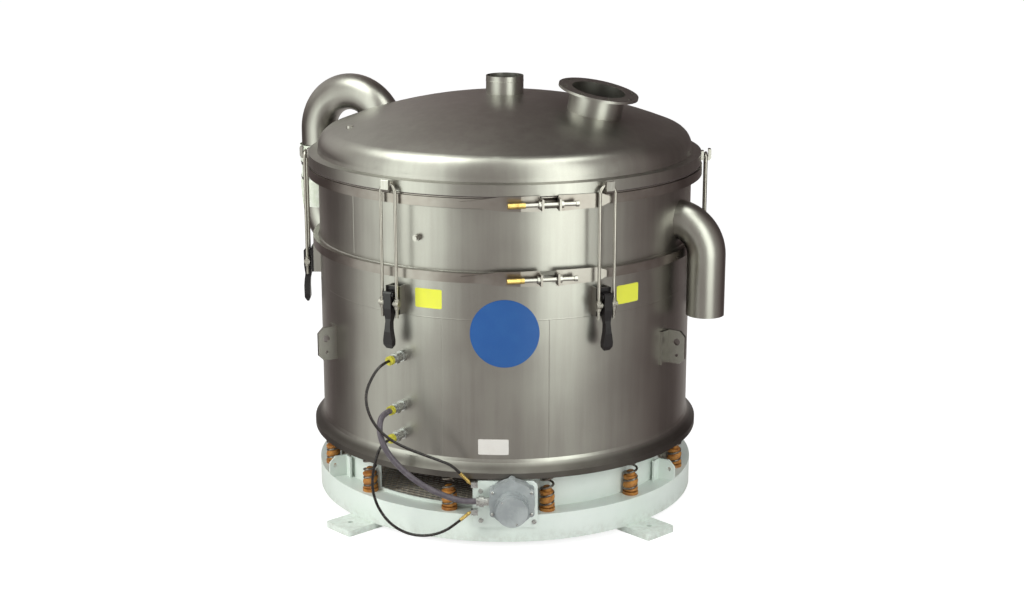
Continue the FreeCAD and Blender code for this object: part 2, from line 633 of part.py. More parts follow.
vent_turn = size("vent_bend_radius")
vent_centre = size("vent_place") - vent_turn
vent_top = size("vent_centre") + vent_turn
vent_points = [Vector(size("vent_place"), 0, size("sleeve_cuff") - 22), Vector(size("vent_place"), 0, vent_top),
               Vector(vent_centre - vent_turn, 0, vent_top), Vector(vent_centre - vent_turn, 0, 1400)]
vent_wall, vent_bore = pipe(vent_points, (vent_turn, vent_turn), pipe_radius, pipe_gauge)
vent_wall_object = hidden("vent_wall", vent_wall)
vent_bore_object = hidden("vent_bore", vent_bore)
for item in (vent_wall_object, vent_bore_object):
    item.Placement = turned_place(VENT_ANGLE)
part(cut("vent_bend", vent_wall_object, vent_bore_object, dome_outer), "vent_bend")

part(cut("lid_cover", dome_outer, dome_inner, inlet_bore, nozzle_bore, vent_bore_object), "lid_cover")

elbow_turn = size("elbow_radius")
elbow_level = size("elbow_turn_level") - elbow_turn
elbow_points = [Vector(size("vent_place"), 0, size("sleeve_bulge") + 22), Vector(size("vent_place"), 0, elbow_level),
                Vector(size("shell_radius") - 40, 0, elbow_level)]
elbow_wall, elbow_bore = pipe(elbow_points, (elbow_turn,), pipe_radius, pipe_gauge)
elbow_wall_object = hidden("elbow_wall", elbow_wall)
elbow_bore_object = hidden("elbow_bore", elbow_bore)
for item in (elbow_wall_object, elbow_bore_object):
    item.Placement = turned_place(VENT_ANGLE)
part(cut("vent_elbow", elbow_wall_object, elbow_bore_object, shell_solid), "vent_elbow")

sleeve_axis = polar(size("vent_place"), VENT_ANGLE, 0)
sleeve = revolved("sleeve", [
    ("pipe_radius", "sleeve_low"), ("pipe_radius + 1.2", "sleeve_low"), ("pipe_radius + 9", "sleeve_bulge - 30"),
    ("pipe_radius + 8", "sleeve_bulge - 3"), ("pipe_radius + sleeve_gauge", "sleeve_bulge + 4"),
    ("pipe_radius + sleeve_gauge", "sleeve_cuff - 4"), ("pipe_radius + 8", "sleeve_cuff + 4"),
    ("pipe_radius + 8.5", "sleeve_high"), ("pipe_radius", "sleeve_high")])
sleeve.Placement.Base = sleeve_axis
part(sleeve, "vent_sleeve")
sleeve_bands = []
for number, level in enumerate(("sleeve_bulge + 6", "sleeve_cuff - 18")):
    band = revolved("sleeve_band_%d" % number, [
        ("pipe_radius + sleeve_gauge", level), ("pipe_radius + sleeve_gauge + 2", level),
        ("pipe_radius + sleeve_gauge + 2", level + " + 12"), ("pipe_radius + sleeve_gauge", level + " + 12")])
    level_now = size(level.split()[0]) + (6, -18)[number]
    screw = block("band_screw_%d" % number, "14", "26", "14",
                  Vector(size("pipe_radius") + size("sleeve_gauge") + 1, -13, level_now - 1))
    clip = fused("sleeve_clip_%d" % number, band, screw)
    clip.Placement = FreeCAD.Placement(sleeve_axis, FreeCAD.Rotation(Z_AXIS, VENT_ANGLE - 90))
    sleeve_bands.append(clip)
clamps = doc.addObject("Part::Compound", "sleeve_clamps")
clamps.Links = sleeve_bands
part(clamps, "sleeve_clamps")


def spout(label, angle, centre, end, frame_wall):
    """A bent discharge spout seated on the shell, and the bore that opens the shell to it."""
    reach = size("spout_place")
    turn = size("spout_bend_radius")
    points = [Vector(size("shell_radius") - 60, 0, size(centre) + turn), Vector(reach, 0, size(centre) + turn),
              Vector(reach, 0, size(end))]
    wall, bore = pipe(points, (turn,), pipe_radius, pipe_gauge)
    wall_object = hidden(label + "_wall", wall)
    bore_object = hidden(label + "_bore", bore)
    for item in (wall_object, bore_object):
        item.Placement = turned_place(angle)
    part(cut(label, wall_object, bore_object, shell_solid), label)
    return bore_object


spout_bore = spout("oversize_spout", SPOUT_ANGLE, "spout_centre", "spout_end", middle_wall)
rear_bore = spout("undersize_spout", REAR_SPOUT_ANGLE, "rear_spout_centre", "rear_spout_end", lower_wall)
part(cut("lower_frame", lower_wall, rear_bore, elbow_bore_object), "lower_frame")
part(cut("middle_frame", middle_wall, spout_bore), "middle_frame")

# ---------------------------------------------------------------- drive

mount_plate = revolved("mount_plate", [
    ("mount_bore", "mount_level"), ("shell_radius - shell_gauge", "mount_level"),
    ("shell_radius - shell_gauge", "mount_level + mount_thick"), ("mount_bore", "mount_level + mount_thick")])
gusset = padded("gusset", "XZ_Plane", [
    ("230", "mount_level"), ("shell_radius - shell_gauge - 0.5", "mount_level"),
    ("shell_radius - shell_gauge - 0.5", "mount_level - 170"), ("700", "mount_level - 170")], "10")
part(fused("motor_mount", mount_plate, round_machine("gussets", gusset, range(0, 360, 60))), "motor_mount")

motor_shell = revolved("motor_shell", [
    ("shaft_radius + 6", "motor_low"), ("112", "motor_low"), ("148", "motor_low + 20"),
    ("motor_radius", "motor_low + 42"), ("motor_radius", "mount_level + mount_thick"),
    ("motor_flange_radius", "mount_level + mount_thick"), ("motor_flange_radius", "mount_level + mount_thick + 16"),
    ("motor_radius", "mount_level + mount_thick + 16"), ("motor_radius", "motor_high - 42"),
    ("148", "motor_high - 20"), ("112", "motor_high"), ("shaft_radius + 6", "motor_high"),
    ("shaft_radius + 6", "motor_high - 5"), ("bearing_radius", "motor_high - 5"),
    ("bearing_radius", "motor_low + 5"), ("shaft_radius + 6", "motor_low + 5")])
part(motor_shell, "motor_housing")


def bearing(name, level):
    """One bearing as a ring between the shaft and the housing."""
    return revolved(name, [
        ("shaft_radius + fit_gap", level), ("bearing_radius", level), ("bearing_radius", level + " + 30"),
        ("shaft_radius + fit_gap", level + " + 30")])


bearings = doc.addObject("Part::Compound", "motor_bearings")
bearings.Links = [bearing("lower_bearing", "motor_low + 5"), bearing("upper_bearing", "motor_high - 35")]
part(bearings, "motor_bearings")
part(revolved("rotor_shaft", [
    ("0", "lower_weight_level - 8"), ("shaft_radius", "lower_weight_level - 8"), ("shaft_radius", "motor_low + 38"),
    ("rotor_radius", "motor_low + 38"), ("rotor_radius", "motor_high - 38"), ("shaft_radius", "motor_high - 38"),
    ("shaft_radius", "upper_weight_level + weight_thick + 18"), ("0", "upper_weight_level + weight_thick + 18")]),
     "rotor_shaft")


def weight(label, level, lead):
    """An eccentric weight: a half disc with a clamping hub round the shaft."""
    half = cylinder(label + "_half", "weight_radius", "weight_thick", Vector(0, 0, size(level)), sweep=180)
    hub = cylinder(label + "_hub", "shaft_radius + 26", "weight_thick", Vector(0, 0, size(level)))
    bore = cylinder(label + "_bore", "shaft_radius", "weight_thick", Vector(0, 0, size(level)))
    item = cut(label, fused(label + "_whole", half, hub), bore)
    item.Placement = FreeCAD.Placement(Vector(), FreeCAD.Rotation(Z_AXIS, lead))
    part(item, label)


weight("upper_weight", "upper_weight_level", 0)
weight("lower_weight", "lower_weight_level", 45)

# ---------------------------------------------------------------- lifting lugs

lug_leg = padded("lug_leg", "XZ_Plane", [
    ("shell_radius - 20", "lug_low"), ("lug_reach - 22", "lug_low"), ("lug_reach", "lug_low + 22"),
    ("lug_reach", "lug_high - 22"), ("lug_reach - 22", "lug_high"), ("shell_radius - 20", "lug_high")], "lug_plate")
lug_pad = block("lug_pad", "60", "56", "lug_high - lug_low", Vector(size("shell_radius") - 40, -56, size("lug_low")))
lug_shell = cylinder("lug_shell", "shell_radius + 10", "middle_frame_top")
lug_wing = common("lug_wing", lug_pad, lug_shell)
lug_eye = cylinder("lug_eye", "14", "40", Vector(808, -20, size("lug_high") - 46), Vector(0, 1, 0))
lug_small_eye = cylinder("lug_small_eye", "6.5", "40", Vector(808, -20, size("lug_low") + 34), Vector(0, 1, 0))
lug = cut("lug", fused("lug_whole", lug_leg, lug_wing), lug_eye, lug_small_eye, shell_solid)
part(round_machine("lifting_lugs", lug, LUG_ANGLES), "lifting_lugs")

# ---------------------------------------------------------------- toggle clamps

stand = block("stand", "stand_off - shell_radius + 20", "clamp_width", "clamp_high - clamp_low",
              Vector(size("shell_radius") - 20, -size("clamp_width") / 2, size("clamp_low")))
stand_hollow = block("stand_hollow", "stand_off - shell_radius + 14", "clamp_width - 12", "clamp_high - clamp_low",
                     Vector(size("shell_radius") - 20, -size("clamp_width") / 2 + 6, size("clamp_low")))
bracket = cut("bracket", stand, stand_hollow, shell_solid)
part(round_machine("latch_brackets", bracket, CLAMP_ANGLES), "latch_brackets")

clamp_plate = block("clamp_plate_block", "clamp_plate", "clamp_width", "clamp_high - clamp_low",
                    Vector(size("stand_off"), -size("clamp_width") / 2, size("clamp_low")))
ears = []
for number, side in enumerate((-23, 19)):
    arm = block("ear_arm_%d" % number, "pivot_place - stand_off", "4", "24",
                Vector(size("stand_off"), side, size("pivot_level") - 12))
    eye = cylinder("ear_eye_%d" % number, "12", "4", Vector(size("pivot_place"), side, size("pivot_level")),
                   Vector(0, 1, 0))
    ears += [arm, eye]
pivot_pin = cylinder("pivot_pin", "pivot_radius", "50", Vector(size("pivot_place"), -25, size("pivot_level")),
                     Vector(0, 1, 0))
latch_base = fused("latch_base", clamp_plate, pivot_pin, *ears)
part(round_machine("latch_bases", latch_base, CLAMP_ANGLES), "latch_bases")

handle_side = padded("handle_side", "XZ_Plane", [
    ("809", "1006"), ("807.5", "960"), ("807.5", "905"), ("813", "880"), ("815", "850"), ("815", "800"),
    ("821", "783"), ("829", "783"), ("838", "800"), ("840", "850"), ("838", "875"), ("834", "900"),
    ("838", "940"), ("838", "1000"), ("832", "1006")], "60")
handle_front = padded("handle_front", "YZ_Plane", [
    ("0 - 17", "1010"), ("0 - 17", "925"), ("0 - 11", "888"), ("0 - 13", "860"), ("0 - 21", "815"),
    ("0 - 20", "796"), ("0 - 10", "780"), ("10", "780"), ("20", "796"), ("21", "815"), ("13", "860"),
    ("11", "888"), ("17", "925"), ("17", "1010")], "2000")
handle_form = common("handle_form", handle_side, handle_front)
handle_bore = cylinder("handle_bore", "pivot_radius + fit_gap", "80",
                       Vector(size("pivot_place"), -40, size("pivot_level")), Vector(0, 1, 0))
trunnion_bore = cylinder("trunnion_bore", "trunnion_radius + fit_gap", "80",
                         Vector(size("trunnion_place"), -40, size("trunnion_level")), Vector(0, 1, 0))
handle = cut("handle", handle_form, handle_bore, trunnion_bore)


def bail_shape():
    """U-bolt with its cross trunnion and lock nuts, built along +X."""
    place = size("trunnion_place")
    half = size("rod_spacing") / 2
    low = size("bail_low")
    rod = size("rod_radius")
    level = size("trunnion_level")
    crown = size("bail_top") - half
    pieces = []
    for side in (-half, half):
        pieces.append(Part.makeCylinder(rod, crown - low, Vector(place, side, low)))
        for nut_low in (level - 20, level + 8):
            pieces.append(Part.makeCylinder(10.5, 11, Vector(place, side, nut_low)))
        pieces.append(Part.makeCylinder(12, 24, Vector(place, side - 12, level), Vector(0, 1, 0)))
    ring_part = Part.makeTorus(half, rod, Vector(place, 0, crown), Vector(1, 0, 0), 0, 360)
    upper = Part.makeBox(40, 4 * half, 2 * half, Vector(place - 20, -2 * half, crown))
    pieces.append(ring_part.common(upper))
    pieces.append(Part.makeCylinder(size("trunnion_radius"), 2 * half, Vector(place, -half, level), Vector(0, 1, 0)))
    return pieces[0].multiFuse(pieces[1:]).removeSplitter()


bail_seed = hidden("bail_seed", bail_shape())
for number, angle in enumerate(CLAMP_ANGLES, 1):
    part(copies("latch_handle_%d" % number, handle, [turned_place(angle)]), "latch_handle_%d" % number)
    part(copies("latch_bail_%d" % number, bail_seed, [turned_place(angle)]), "latch_bail_%d" % number)

hook = padded("hook", "XZ_Plane", [
    ("band_radius - 4", "band_low"), ("hook_reach - 8", "band_low"), ("hook_reach", "band_low + 10"),
    ("hook_reach", "bail_top + 16"), ("hook_reach - 3", "bail_top + 18"), ("hook_reach - 12", "bail_top + 18"),
    ("hook_reach - 12", "band_high - 5"), ("band_radius - 4", "band_high - 5")], "hook_width")
hook_slot = cut("hook_slot",
                block("hook_slot_room", "hook_reach - band_radius - 23", "hook_width + 4", "80",
                      Vector(size("band_radius") + 11, -size("hook_width") / 2 - 2,
                             size("bail_top") - size("rod_spacing") / 2)),
                cylinder("hook_saddle", "rod_spacing / 2 - rod_radius - 0.65", "60",
                         Vector(size("band_radius") - 10, 0, size("bail_top") - size("rod_spacing") / 2),
                         Vector(1, 0, 0)))
band_solid = cylinder("band_solid", "band_radius", "100", Vector(0, 0, size("band_low") - 20))
part(round_machine("lid_hooks", cut("hook_seated", hook, hook_slot, band_solid), CLAMP_ANGLES), "lid_hooks")

# ---------------------------------------------------------------- service fittings


def gland_shape(level):
    """A pipe coupling on the shell: boss, hexagon and tube, along +X."""
    radius = size("gland_radius")
    shell = size("shell_radius")
    boss = Part.makeCylinder(radius, 74 + 10, Vector(shell - 10, 0, level), Vector(1, 0, 0))
    collar = Part.makeCylinder(radius + 5, 22, Vector(shell - 10, 0, level), Vector(1, 0, 0))
    hexagon = Part.makePolygon([Vector(shell + 34, (radius + 5) * math.cos(math.radians(60 * k)),
                                       level + (radius + 5) * math.sin(math.radians(60 * k))) for k in range(7)])
    nut = Part.Face(hexagon).extrude(Vector(22, 0, 0))
    return boss.multiFuse([collar, nut])


gland_seed = hidden("gland_seed", Part.makeCompound([gland_shape(level) for level in GLAND_LEVELS]))
glands = cut("glands", gland_seed, shell_solid)
part(round_machine("shell_couplings", glands, (GLAND_ANGLE,)), "shell_couplings")
bushings = []
for number, level in enumerate(GLAND_LEVELS):
    bushings.append(cylinder("bushing_%d" % number, "gland_radius + 1", "gland_reach - shell_radius - 74",
                             Vector(size("shell_radius") + 74, 0, level), Vector(1, 0, 0)))
bushing_set = doc.addObject("Part::Compound", "bushing_set")
bushing_set.Links = bushings
part(round_machine("coupling_bushings", bushing_set, (GLAND_ANGLE,)), "coupling_bushings")

gauge_body = cut("gauge_body", fused(
    "gauge_whole",
    cylinder("gauge_boss", "13", "40", Vector(size("shell_radius") - 20, 0, 1214), Vector(1, 0, 0)),
    cylinder("gauge_cap", "9", "48", Vector(size("shell_radius") - 20, 0, 1214), Vector(1, 0, 0))), shell_solid)
nipple = cut("nipple", fused(
    "nipple_whole", cylinder("nipple_tube", "11", "70", Vector(645, 0, 1480)),
    cylinder("nipple_cap", "14", "14", Vector(645, 0, 1543))), dome_outer)
port_set = doc.addObject("Part::Compound", "capped_ports")
port_set.Links = [round_machine("gauge_port", gauge_body, (-23.2,)), round_machine("dome_nipple", nipple, (-70.6,))]
part(port_set, "capped_ports")

# ---------------------------------------------------------------- junction plate and hoses
# Built facing +X like every seed: Y runs along the plate, towards the machine's right.

face = size("plate_face")
plate = padded("plate", "YZ_Plane", [
    ("0 - plate_width / 2", "plate_low"), ("plate_width / 2", "plate_low"), ("plate_width / 2", "plate_high"),
    ("0 - plate_width / 2", "plate_high")], "8")
rounded(plate, Vector(1, 0, 0), "28", lambda middle: middle.z > 200)
plate.Placement.Base = Vector(face - 4, 0, 0)
shelf = block("plate_shelf", "42", "220", "8", Vector(face - 46, -110, size("ring_top")))
plate_whole = fused("plate_whole", plate, shelf)
part(round_machine("junction_plate", plate_whole, (PLATE_ANGLE,)), "junction_plate")

BOX_OFFSET = 26
box_centre = Vector(face, BOX_OFFSET, size("box_level"))
box_round = cylinder("box_round", "box_radius", "box_face - plate_face", box_centre, Vector(1, 0, 0))
box_lobes = []
for number, turn in enumerate((90, 30, -30, -90, 210, 150)):
    arm = math.radians(turn)
    box_lobes.append(cylinder("box_lobe_%d" % number, "15", "box_face - plate_face", box_centre + Vector(
        0, (size("box_radius") - 6) * math.cos(arm), (size("box_radius") - 6) * math.sin(arm)), Vector(1, 0, 0)))
lip_room = cylinder("lip_room", "lip_radius + 5", "60", Vector(0, 0, size("lip_low") - 9))
box_body = cut("box_body", fused("box_cast", box_round, *box_lobes), lip_room)
part(round_machine("junction_box", box_body, (PLATE_ANGLE,)), "junction_box")
cover_neck = cylinder("cover_neck", "cover_radius + 6", "cover_face - box_face - 22",
                      Vector(size("box_face"), BOX_OFFSET, size("cover_level")), Vector(1, 0, 0))
cover_cap = cylinder("cover_cap", "cover_radius", "cover_face - box_face",
                     Vector(size("box_face"), BOX_OFFSET, size("cover_level")), Vector(1, 0, 0))
part(round_machine("junction_cover", fused("cover_body", cover_neck, cover_cap), (PLATE_ANGLE,)), "junction_cover")

CONDUIT_END = -111
hub = fused("conduit_hub",
            cylinder("hub_tube", "17", "52", Vector(823, CONDUIT_END, size("box_level")), Vector(0, 1, 0)),
            cylinder("hub_nut", "22", "20", Vector(823, CONDUIT_END + 10, size("box_level")), Vector(0, 1, 0)))
hub_seated = cut("hub_seated", hub, box_round)
GREASE_SIDE = -131
GREASE_REACH = 800
GREASE_LEVELS = (270, 158)
grease_blocks = [block("grease_block_%d" % number, "20", "26", "22", Vector(face, GREASE_SIDE, level - 12))
                 for number, level in enumerate(GREASE_LEVELS)]
fitting_set = doc.addObject("Part::Compound", "fitting_set")
fitting_set.Links = [hub_seated] + grease_blocks
part(round_machine("plate_fittings", fitting_set, (PLATE_ANGLE,)), "plate_fittings")


def hose(label, route, radius):
    """A hose along straight runs joined by the largest tangent arcs; prints its bends."""
    points = [Vector(*point) for point in route]
    runs = [(b - a).Length for a, b in zip(points, points[1:])]
    reaches = [0.45 * min(before, after) for before, after in zip(runs, runs[1:])]
    radii = []
    for k, reach in enumerate(reaches, 1):
        turn = (points[k] - points[k - 1]).getAngle(points[k + 1] - points[k])
        radii.append(reach / math.tan(turn / 2))
    solid, length = arc_pipe(radius, points, reaches)
    print("%s length %.0f runs %s radii %s volume share %.4f" % (
        label, length, [round(run) for run in runs], [round(bend) for bend in radii],
        solid.Volume / (math.pi * radius ** 2 * length)))
    shape_part(label, solid)
    return points


def hose_end(start, towards, length, radius):
    """A ferrule on a hose's end, in line with its last run."""
    return Part.makeCylinder(radius, length, start, towards)


upper = hose("grease_hose_upper", UPPER_HOSE, HOSE_RADIUS)
lower = hose("grease_hose_lower", LOWER_HOSE, HOSE_RADIUS)
hose("power_conduit", CONDUIT, CONDUIT_RADIUS)
ends = []
for points, level in zip((upper, lower), GREASE_LEVELS):
    target = turned_place(PLATE_ANGLE).multVec(Vector(GREASE_REACH, GREASE_SIDE, level))
    way = target - points[-1]
    print("ferrule", round(way.Length, 1), "turn",
          round(math.degrees(way.getAngle(points[-1] - points[-2])), 1), target)
    ends.append(hose_end(points[-1], way, way.Length + 6, 7))
ferrules = hidden("ferrules", Part.makeCompound(ends))
part(cut("hose_ferrules", ferrules, round_machine("seated_blocks", fitting_set, (PLATE_ANGLE,))), "hose_ferrules")

# ---------------------------------------------------------------- check and write

doc.recompute()
for item in doc.Objects:
    if "Invalid" in item.State or "Error" in item.State:
        raise RuntimeError("%s did not compute: %s" % (item.Label, item.State))
names = [item.Label for item in PARTS]
if len(set(names)) != len(names):
    raise RuntimeError("two sub-parts share a name")
for item in PARTS:
    if item.Shape.isNull() or not item.Shape.isValid() or not item.Shape.Solids:
        raise RuntimeError("%s has no valid solid" % item.Label)
    item.Shape.exportStep("parts/%s.step" % item.Label)
print("sub-parts", len(PARTS), "solids", sum(len(item.Shape.Solids) for item in PARTS))
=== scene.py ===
"""Looks of a round vibrating sieve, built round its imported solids.

Lengths are metres. The machine's axis is Z, the feet stand on z = 0 and the junction
box faces -Y. A turn round the machine is counted in degrees from -Y towards +X.
"""
import math

import bmesh
import bpy
import numpy as np
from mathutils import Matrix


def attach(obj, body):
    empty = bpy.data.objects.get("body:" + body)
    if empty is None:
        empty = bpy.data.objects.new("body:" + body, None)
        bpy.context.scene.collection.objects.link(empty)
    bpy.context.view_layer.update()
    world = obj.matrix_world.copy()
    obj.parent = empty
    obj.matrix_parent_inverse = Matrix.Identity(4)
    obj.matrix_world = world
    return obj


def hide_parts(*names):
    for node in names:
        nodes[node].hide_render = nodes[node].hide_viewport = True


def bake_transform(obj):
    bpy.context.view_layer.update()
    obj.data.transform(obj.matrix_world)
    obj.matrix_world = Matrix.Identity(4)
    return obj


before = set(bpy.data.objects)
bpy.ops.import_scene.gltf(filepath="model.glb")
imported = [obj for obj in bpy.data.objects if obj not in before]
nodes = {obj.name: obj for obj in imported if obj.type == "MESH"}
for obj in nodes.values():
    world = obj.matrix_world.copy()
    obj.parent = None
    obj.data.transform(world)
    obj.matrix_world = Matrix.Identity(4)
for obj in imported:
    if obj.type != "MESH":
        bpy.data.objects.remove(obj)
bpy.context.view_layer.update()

SHELL = 0.762
CLAMPS = (30, 90, 150, -150, -90, -30)
PLATE_TURN = 2.2
COUPLING_TURN = -29


# ---------------------------------------------------------------- shader bench


class Wire:
    """A socket that takes part in plain arithmetic; each sum adds a Math node."""

    def __init__(self, bench, socket):
        self.bench = bench
        self.socket = socket

    def maths(self, operation, *values):
        return self.bench.node("ShaderNodeMath", {"operation": operation}, dict(enumerate(values)))

    def __add__(self, other):
        return self.maths("ADD", self, other)

    def __radd__(self, other):
        return self.maths("ADD", other, self)

    def __sub__(self, other):
        return self.maths("SUBTRACT", self, other)

    def __rsub__(self, other):
        return self.maths("SUBTRACT", other, self)

    def __mul__(self, other):
        return self.maths("MULTIPLY", self, other)

    def __rmul__(self, other):
        return self.maths("MULTIPLY", other, self)

    def __truediv__(self, other):
        return self.maths("DIVIDE", self, other)

    def __rtruediv__(self, other):
        return self.maths("DIVIDE", other, self)

    def __pow__(self, other):
        return self.maths("POWER", self, other)

    def larger(self, other):
        return self.maths("MAXIMUM", self, other)

    def sine(self):
        return self.maths("SINE", self)

    def root(self):
        return self.maths("SQRT", self)

    def span(self, low, high, start=0.0, end=1.0):
        """This value carried smoothly from low..high to start..end, and held there beyond."""
        return self.bench.node("ShaderNodeMapRange", {"interpolation_type": "SMOOTHSTEP"},
                               {0: self, 1: low, 2: high, 3: start, 4: end})


class Bench:
    """A node tree on which finishes are put together."""

    def __init__(self, tree):
        self.tree = tree
        tree.nodes.clear()

    def node(self, kind, settings=None, inputs=None, output=0):
        """A node of that kind with its settings made first, then its sockets filled."""
        made = self.tree.nodes.new(kind)
        for name, value in (settings or {}).items():
            setattr(made, name, value)
        for name, value in (inputs or {}).items():
            if isinstance(value, Wire):
                self.tree.links.new(value.socket, made.inputs[name])
            else:
                made.inputs[name].default_value = value
        return Wire(self, made.outputs[output]) if len(made.outputs) else None


class Finish(Bench):
    """The material of one finish, patterned on the machine's own coordinates."""

    def __init__(self, name):
        self.material = bpy.data.materials.new(name)
        self.material.use_nodes = True
        super().__init__(self.material.node_tree)
        self.place = self.node("ShaderNodeTexCoord", output="Object")

    def part_of_place(self, axis):
        return self.node("ShaderNodeSeparateXYZ", {}, {0: self.place}, output=axis)

    def stretched(self, across, along, up):
        """The machine's coordinates scaled by three factors."""
        return self.node("ShaderNodeMapping", {}, {0: self.place, 3: (across, along, up)})

    def turned_grain(self, fine):
        """Coordinates that run quickly over radius and height and slowly round the machine."""
        x, y, z = (self.part_of_place(axis) for axis in range(3))
        radius = (x * x + y * y).root()
        return self.node("ShaderNodeCombineXYZ", {}, {0: radius * fine + x * 3, 1: z * fine + y * 3, 2: x * 2 - y * 2})

    def noise(self, scale, detail=2.0, roughness=0.5, at=None):
        return self.node("ShaderNodeTexNoise", {}, {"Vector": at or self.place, "Scale": scale,
                                                   "Detail": detail, "Roughness": roughness})

    def mix(self, mask, first, second):
        """The first colour where the mask is 0, the second where it is 1."""
        first, second = ((*c, 1.0) if isinstance(c, tuple) else c for c in (first, second))
        return self.node("ShaderNodeMix", {"data_type": "RGBA"}, {0: mask, 6: first, 7: second}, output=2)

    def raised(self, height, strength, depth, under=None):
        inputs = {"Height": height, "Strength": strength, "Distance": depth}
        if under is not None:
            inputs["Normal"] = under
        return self.node("ShaderNodeBump", {}, inputs)

    def coated(self, colour, roughness, metallic=0.0, normal=None, **constants):
        """Close the finish with one principled surface."""
        inputs = {"Base Color": (*colour, 1.0) if isinstance(colour, tuple) else colour,
                  "Roughness": roughness, "Metallic": metallic}
        if normal is not None:
            inputs["Normal"] = normal
        inputs.update({name.replace("_", " "): value for name, value in constants.items()})
        surface = self.node("ShaderNodeBsdfPrincipled", {}, inputs)
        self.node("ShaderNodeOutputMaterial", {}, {0: surface})
        return self.material


def blasted_stainless():
    """Bead-blasted sheet: fine grit, cloudy tone, faint streaks down the wall and painted shade along its flared lip.
    """
    f = Finish("blasted_stainless")
    clouds = f.noise(2.6, 3.0, 0.55)
    streaks = f.noise(1.0, 3.0, 0.6, f.stretched(26, 26, 1.6))
    grit = f.noise(850, 2.0, 0.6)
    tone = (clouds * 0.6 + streaks * 0.4).span(0.36, 0.66)
    colour = f.mix(tone, (0.305, 0.290, 0.268), (0.375, 0.365, 0.335))
    colour = f.mix(grit.span(0.35, 0.75, 0.0, 0.35), colour, (0.46, 0.45, 0.42))
    # Painted shade: below 352 mm, towards the flared lip, the colour goes dark brown-grey in cloudy patches and the
    # surface grows rougher.
    oil_film_and_painted_shade = f.part_of_place(2).span(0.352, 0.326) * clouds.span(0.2, 0.7, 0.6, 1.0)
    colour = f.mix(oil_film_and_painted_shade, colour, (0.100, 0.090, 0.082))
    rough = 0.25 + clouds * 0.10 + grit * 0.05 + oil_film_and_painted_shade * 0.12
    return f.coated(colour, rough, 1.0, f.raised(grit, 0.16, 0.0004))


def rolled_stainless():
    """Rolled ring stock, brushed dull and a little cloudy."""
    f = Finish("rolled_stainless")
    grit = f.noise(900, 2.0, 0.6)
    clouds = f.noise(7.0, 3.0, 0.6)
    colour = f.mix(clouds.span(0.35, 0.7), (0.25, 0.22, 0.20), (0.34, 0.315, 0.29))
    return f.coated(colour, 0.24 + clouds * 0.12, 1.0, f.raised(grit, 0.08, 0.0003))


def drawn_stainless():
    """Drawn rod and small machined fittings."""
    f = Finish("drawn_stainless")
    lines = f.noise(1.0, 2.0, 0.5, f.stretched(900, 900, 25))
    colour = f.mix(lines.span(0.3, 0.7), (0.36, 0.34, 0.31), (0.47, 0.455, 0.425))
    return f.coated(colour, 0.24 + lines * 0.12, 1.0, f.raised(lines, 0.08, 0.0002))


def threaded_rod():
    """Drawn rod whose lower end carries a rolled thread of 1.75 mm pitch."""
    f = Finish("threaded_rod")
    z = f.part_of_place(2)
    lines = f.noise(1.0, 2.0, 0.5, f.stretched(900, 900, 25))
    thread = (z * (2 * math.pi / 0.00175)).sine() * z.span(0.990, 0.984)
    colour = f.mix(lines.span(0.3, 0.7), (0.33, 0.30, 0.27), (0.46, 0.44, 0.40))
    return f.coated(colour, 0.26 + lines * 0.12, 1.0, f.raised(thread, 0.5, 0.0006))


def base_paint():
    """Pale green-white enamel with orange peel, dust on its ledges and rubbed patches."""
    f = Finish("base_paint")
    peel = f.noise(210, 1.0, 0.4)
    patches = f.noise(3.4, 4.0, 0.6)
    dust = f.noise(38, 4.0, 0.7)
    low = f.part_of_place(2).span(0.09, 0.0)
    colour = f.mix(patches.span(0.35, 0.7), (0.735, 0.815, 0.755), (0.80, 0.87, 0.82))
    colour = f.mix(dust.span(0.60, 0.85, 0.0, 0.22), colour, (0.52, 0.53, 0.47))
    colour = f.mix(low * dust.span(0.35, 0.7, 0.0, 0.45), colour, (0.40, 0.40, 0.34))
    return f.coated(colour, 0.34 + patches * 0.12 + dust * 0.08, 0.0, f.raised(peel, 0.12, 0.0005), Coat_Weight=0.15)


def moulded_rubber():
    """Orange-brown natural rubber, duller and darker where it has been handled."""
    f = Finish("moulded_rubber")
    grime = f.noise(46, 4.0, 0.65)
    pores = f.noise(700, 2.0)
    colour = f.mix(grime.span(0.35, 0.72), (0.50, 0.215, 0.035), (0.27, 0.095, 0.022))
    return f.coated(colour, 0.46 + grime * 0.2, 0.0, f.raised(pores, 0.12, 0.0004))


def oiled_spring():
    """Hardened wire with a dark oil film."""
    f = Finish("oiled_spring")
    oil_film_and_painted_shade = f.noise(60, 3.0, 0.6)
    colour = f.mix(oil_film_and_painted_shade.span(0.4, 0.7), (0.16, 0.135, 0.12), (0.33, 0.30, 0.26))
    return f.coated(colour, 0.28 + oil_film_and_painted_shade * 0.2, 1.0, f.raised(oil_film_and_painted_shade, 0.08, 0.0004))


def black_enamel():
    """Glossy black enamel over a cast grain, rubbed thin in scattered patches."""
    f = Finish("black_enamel")
    grain = f.noise(260, 3.0, 0.6)
    rubs = f.noise(34, 4.0, 0.7)
    colour = f.mix(rubs.span(0.66, 0.80, 0.0, 0.7), (0.006, 0.004, 0.005), (0.07, 0.058, 0.055))
    return f.coated(colour, 0.22 + rubs * 0.16, 0.0, f.raised(grain, 0.15, 0.0005), Specular_IOR_Level=0.45)


def turned_brass():
    f = Finish("turned_brass")
    lines = f.noise(1.0, 2.0, 0.5, f.stretched(700, 700, 700))
    stain = f.noise(70, 3.0, 0.6)
    colour = f.mix(stain.span(0.4, 0.75), (0.66, 0.47, 0.155), (0.42, 0.28, 0.09))
    return f.coated(colour, 0.24 + lines * 0.14, 1.0, f.raised(lines, 0.10, 0.0003))


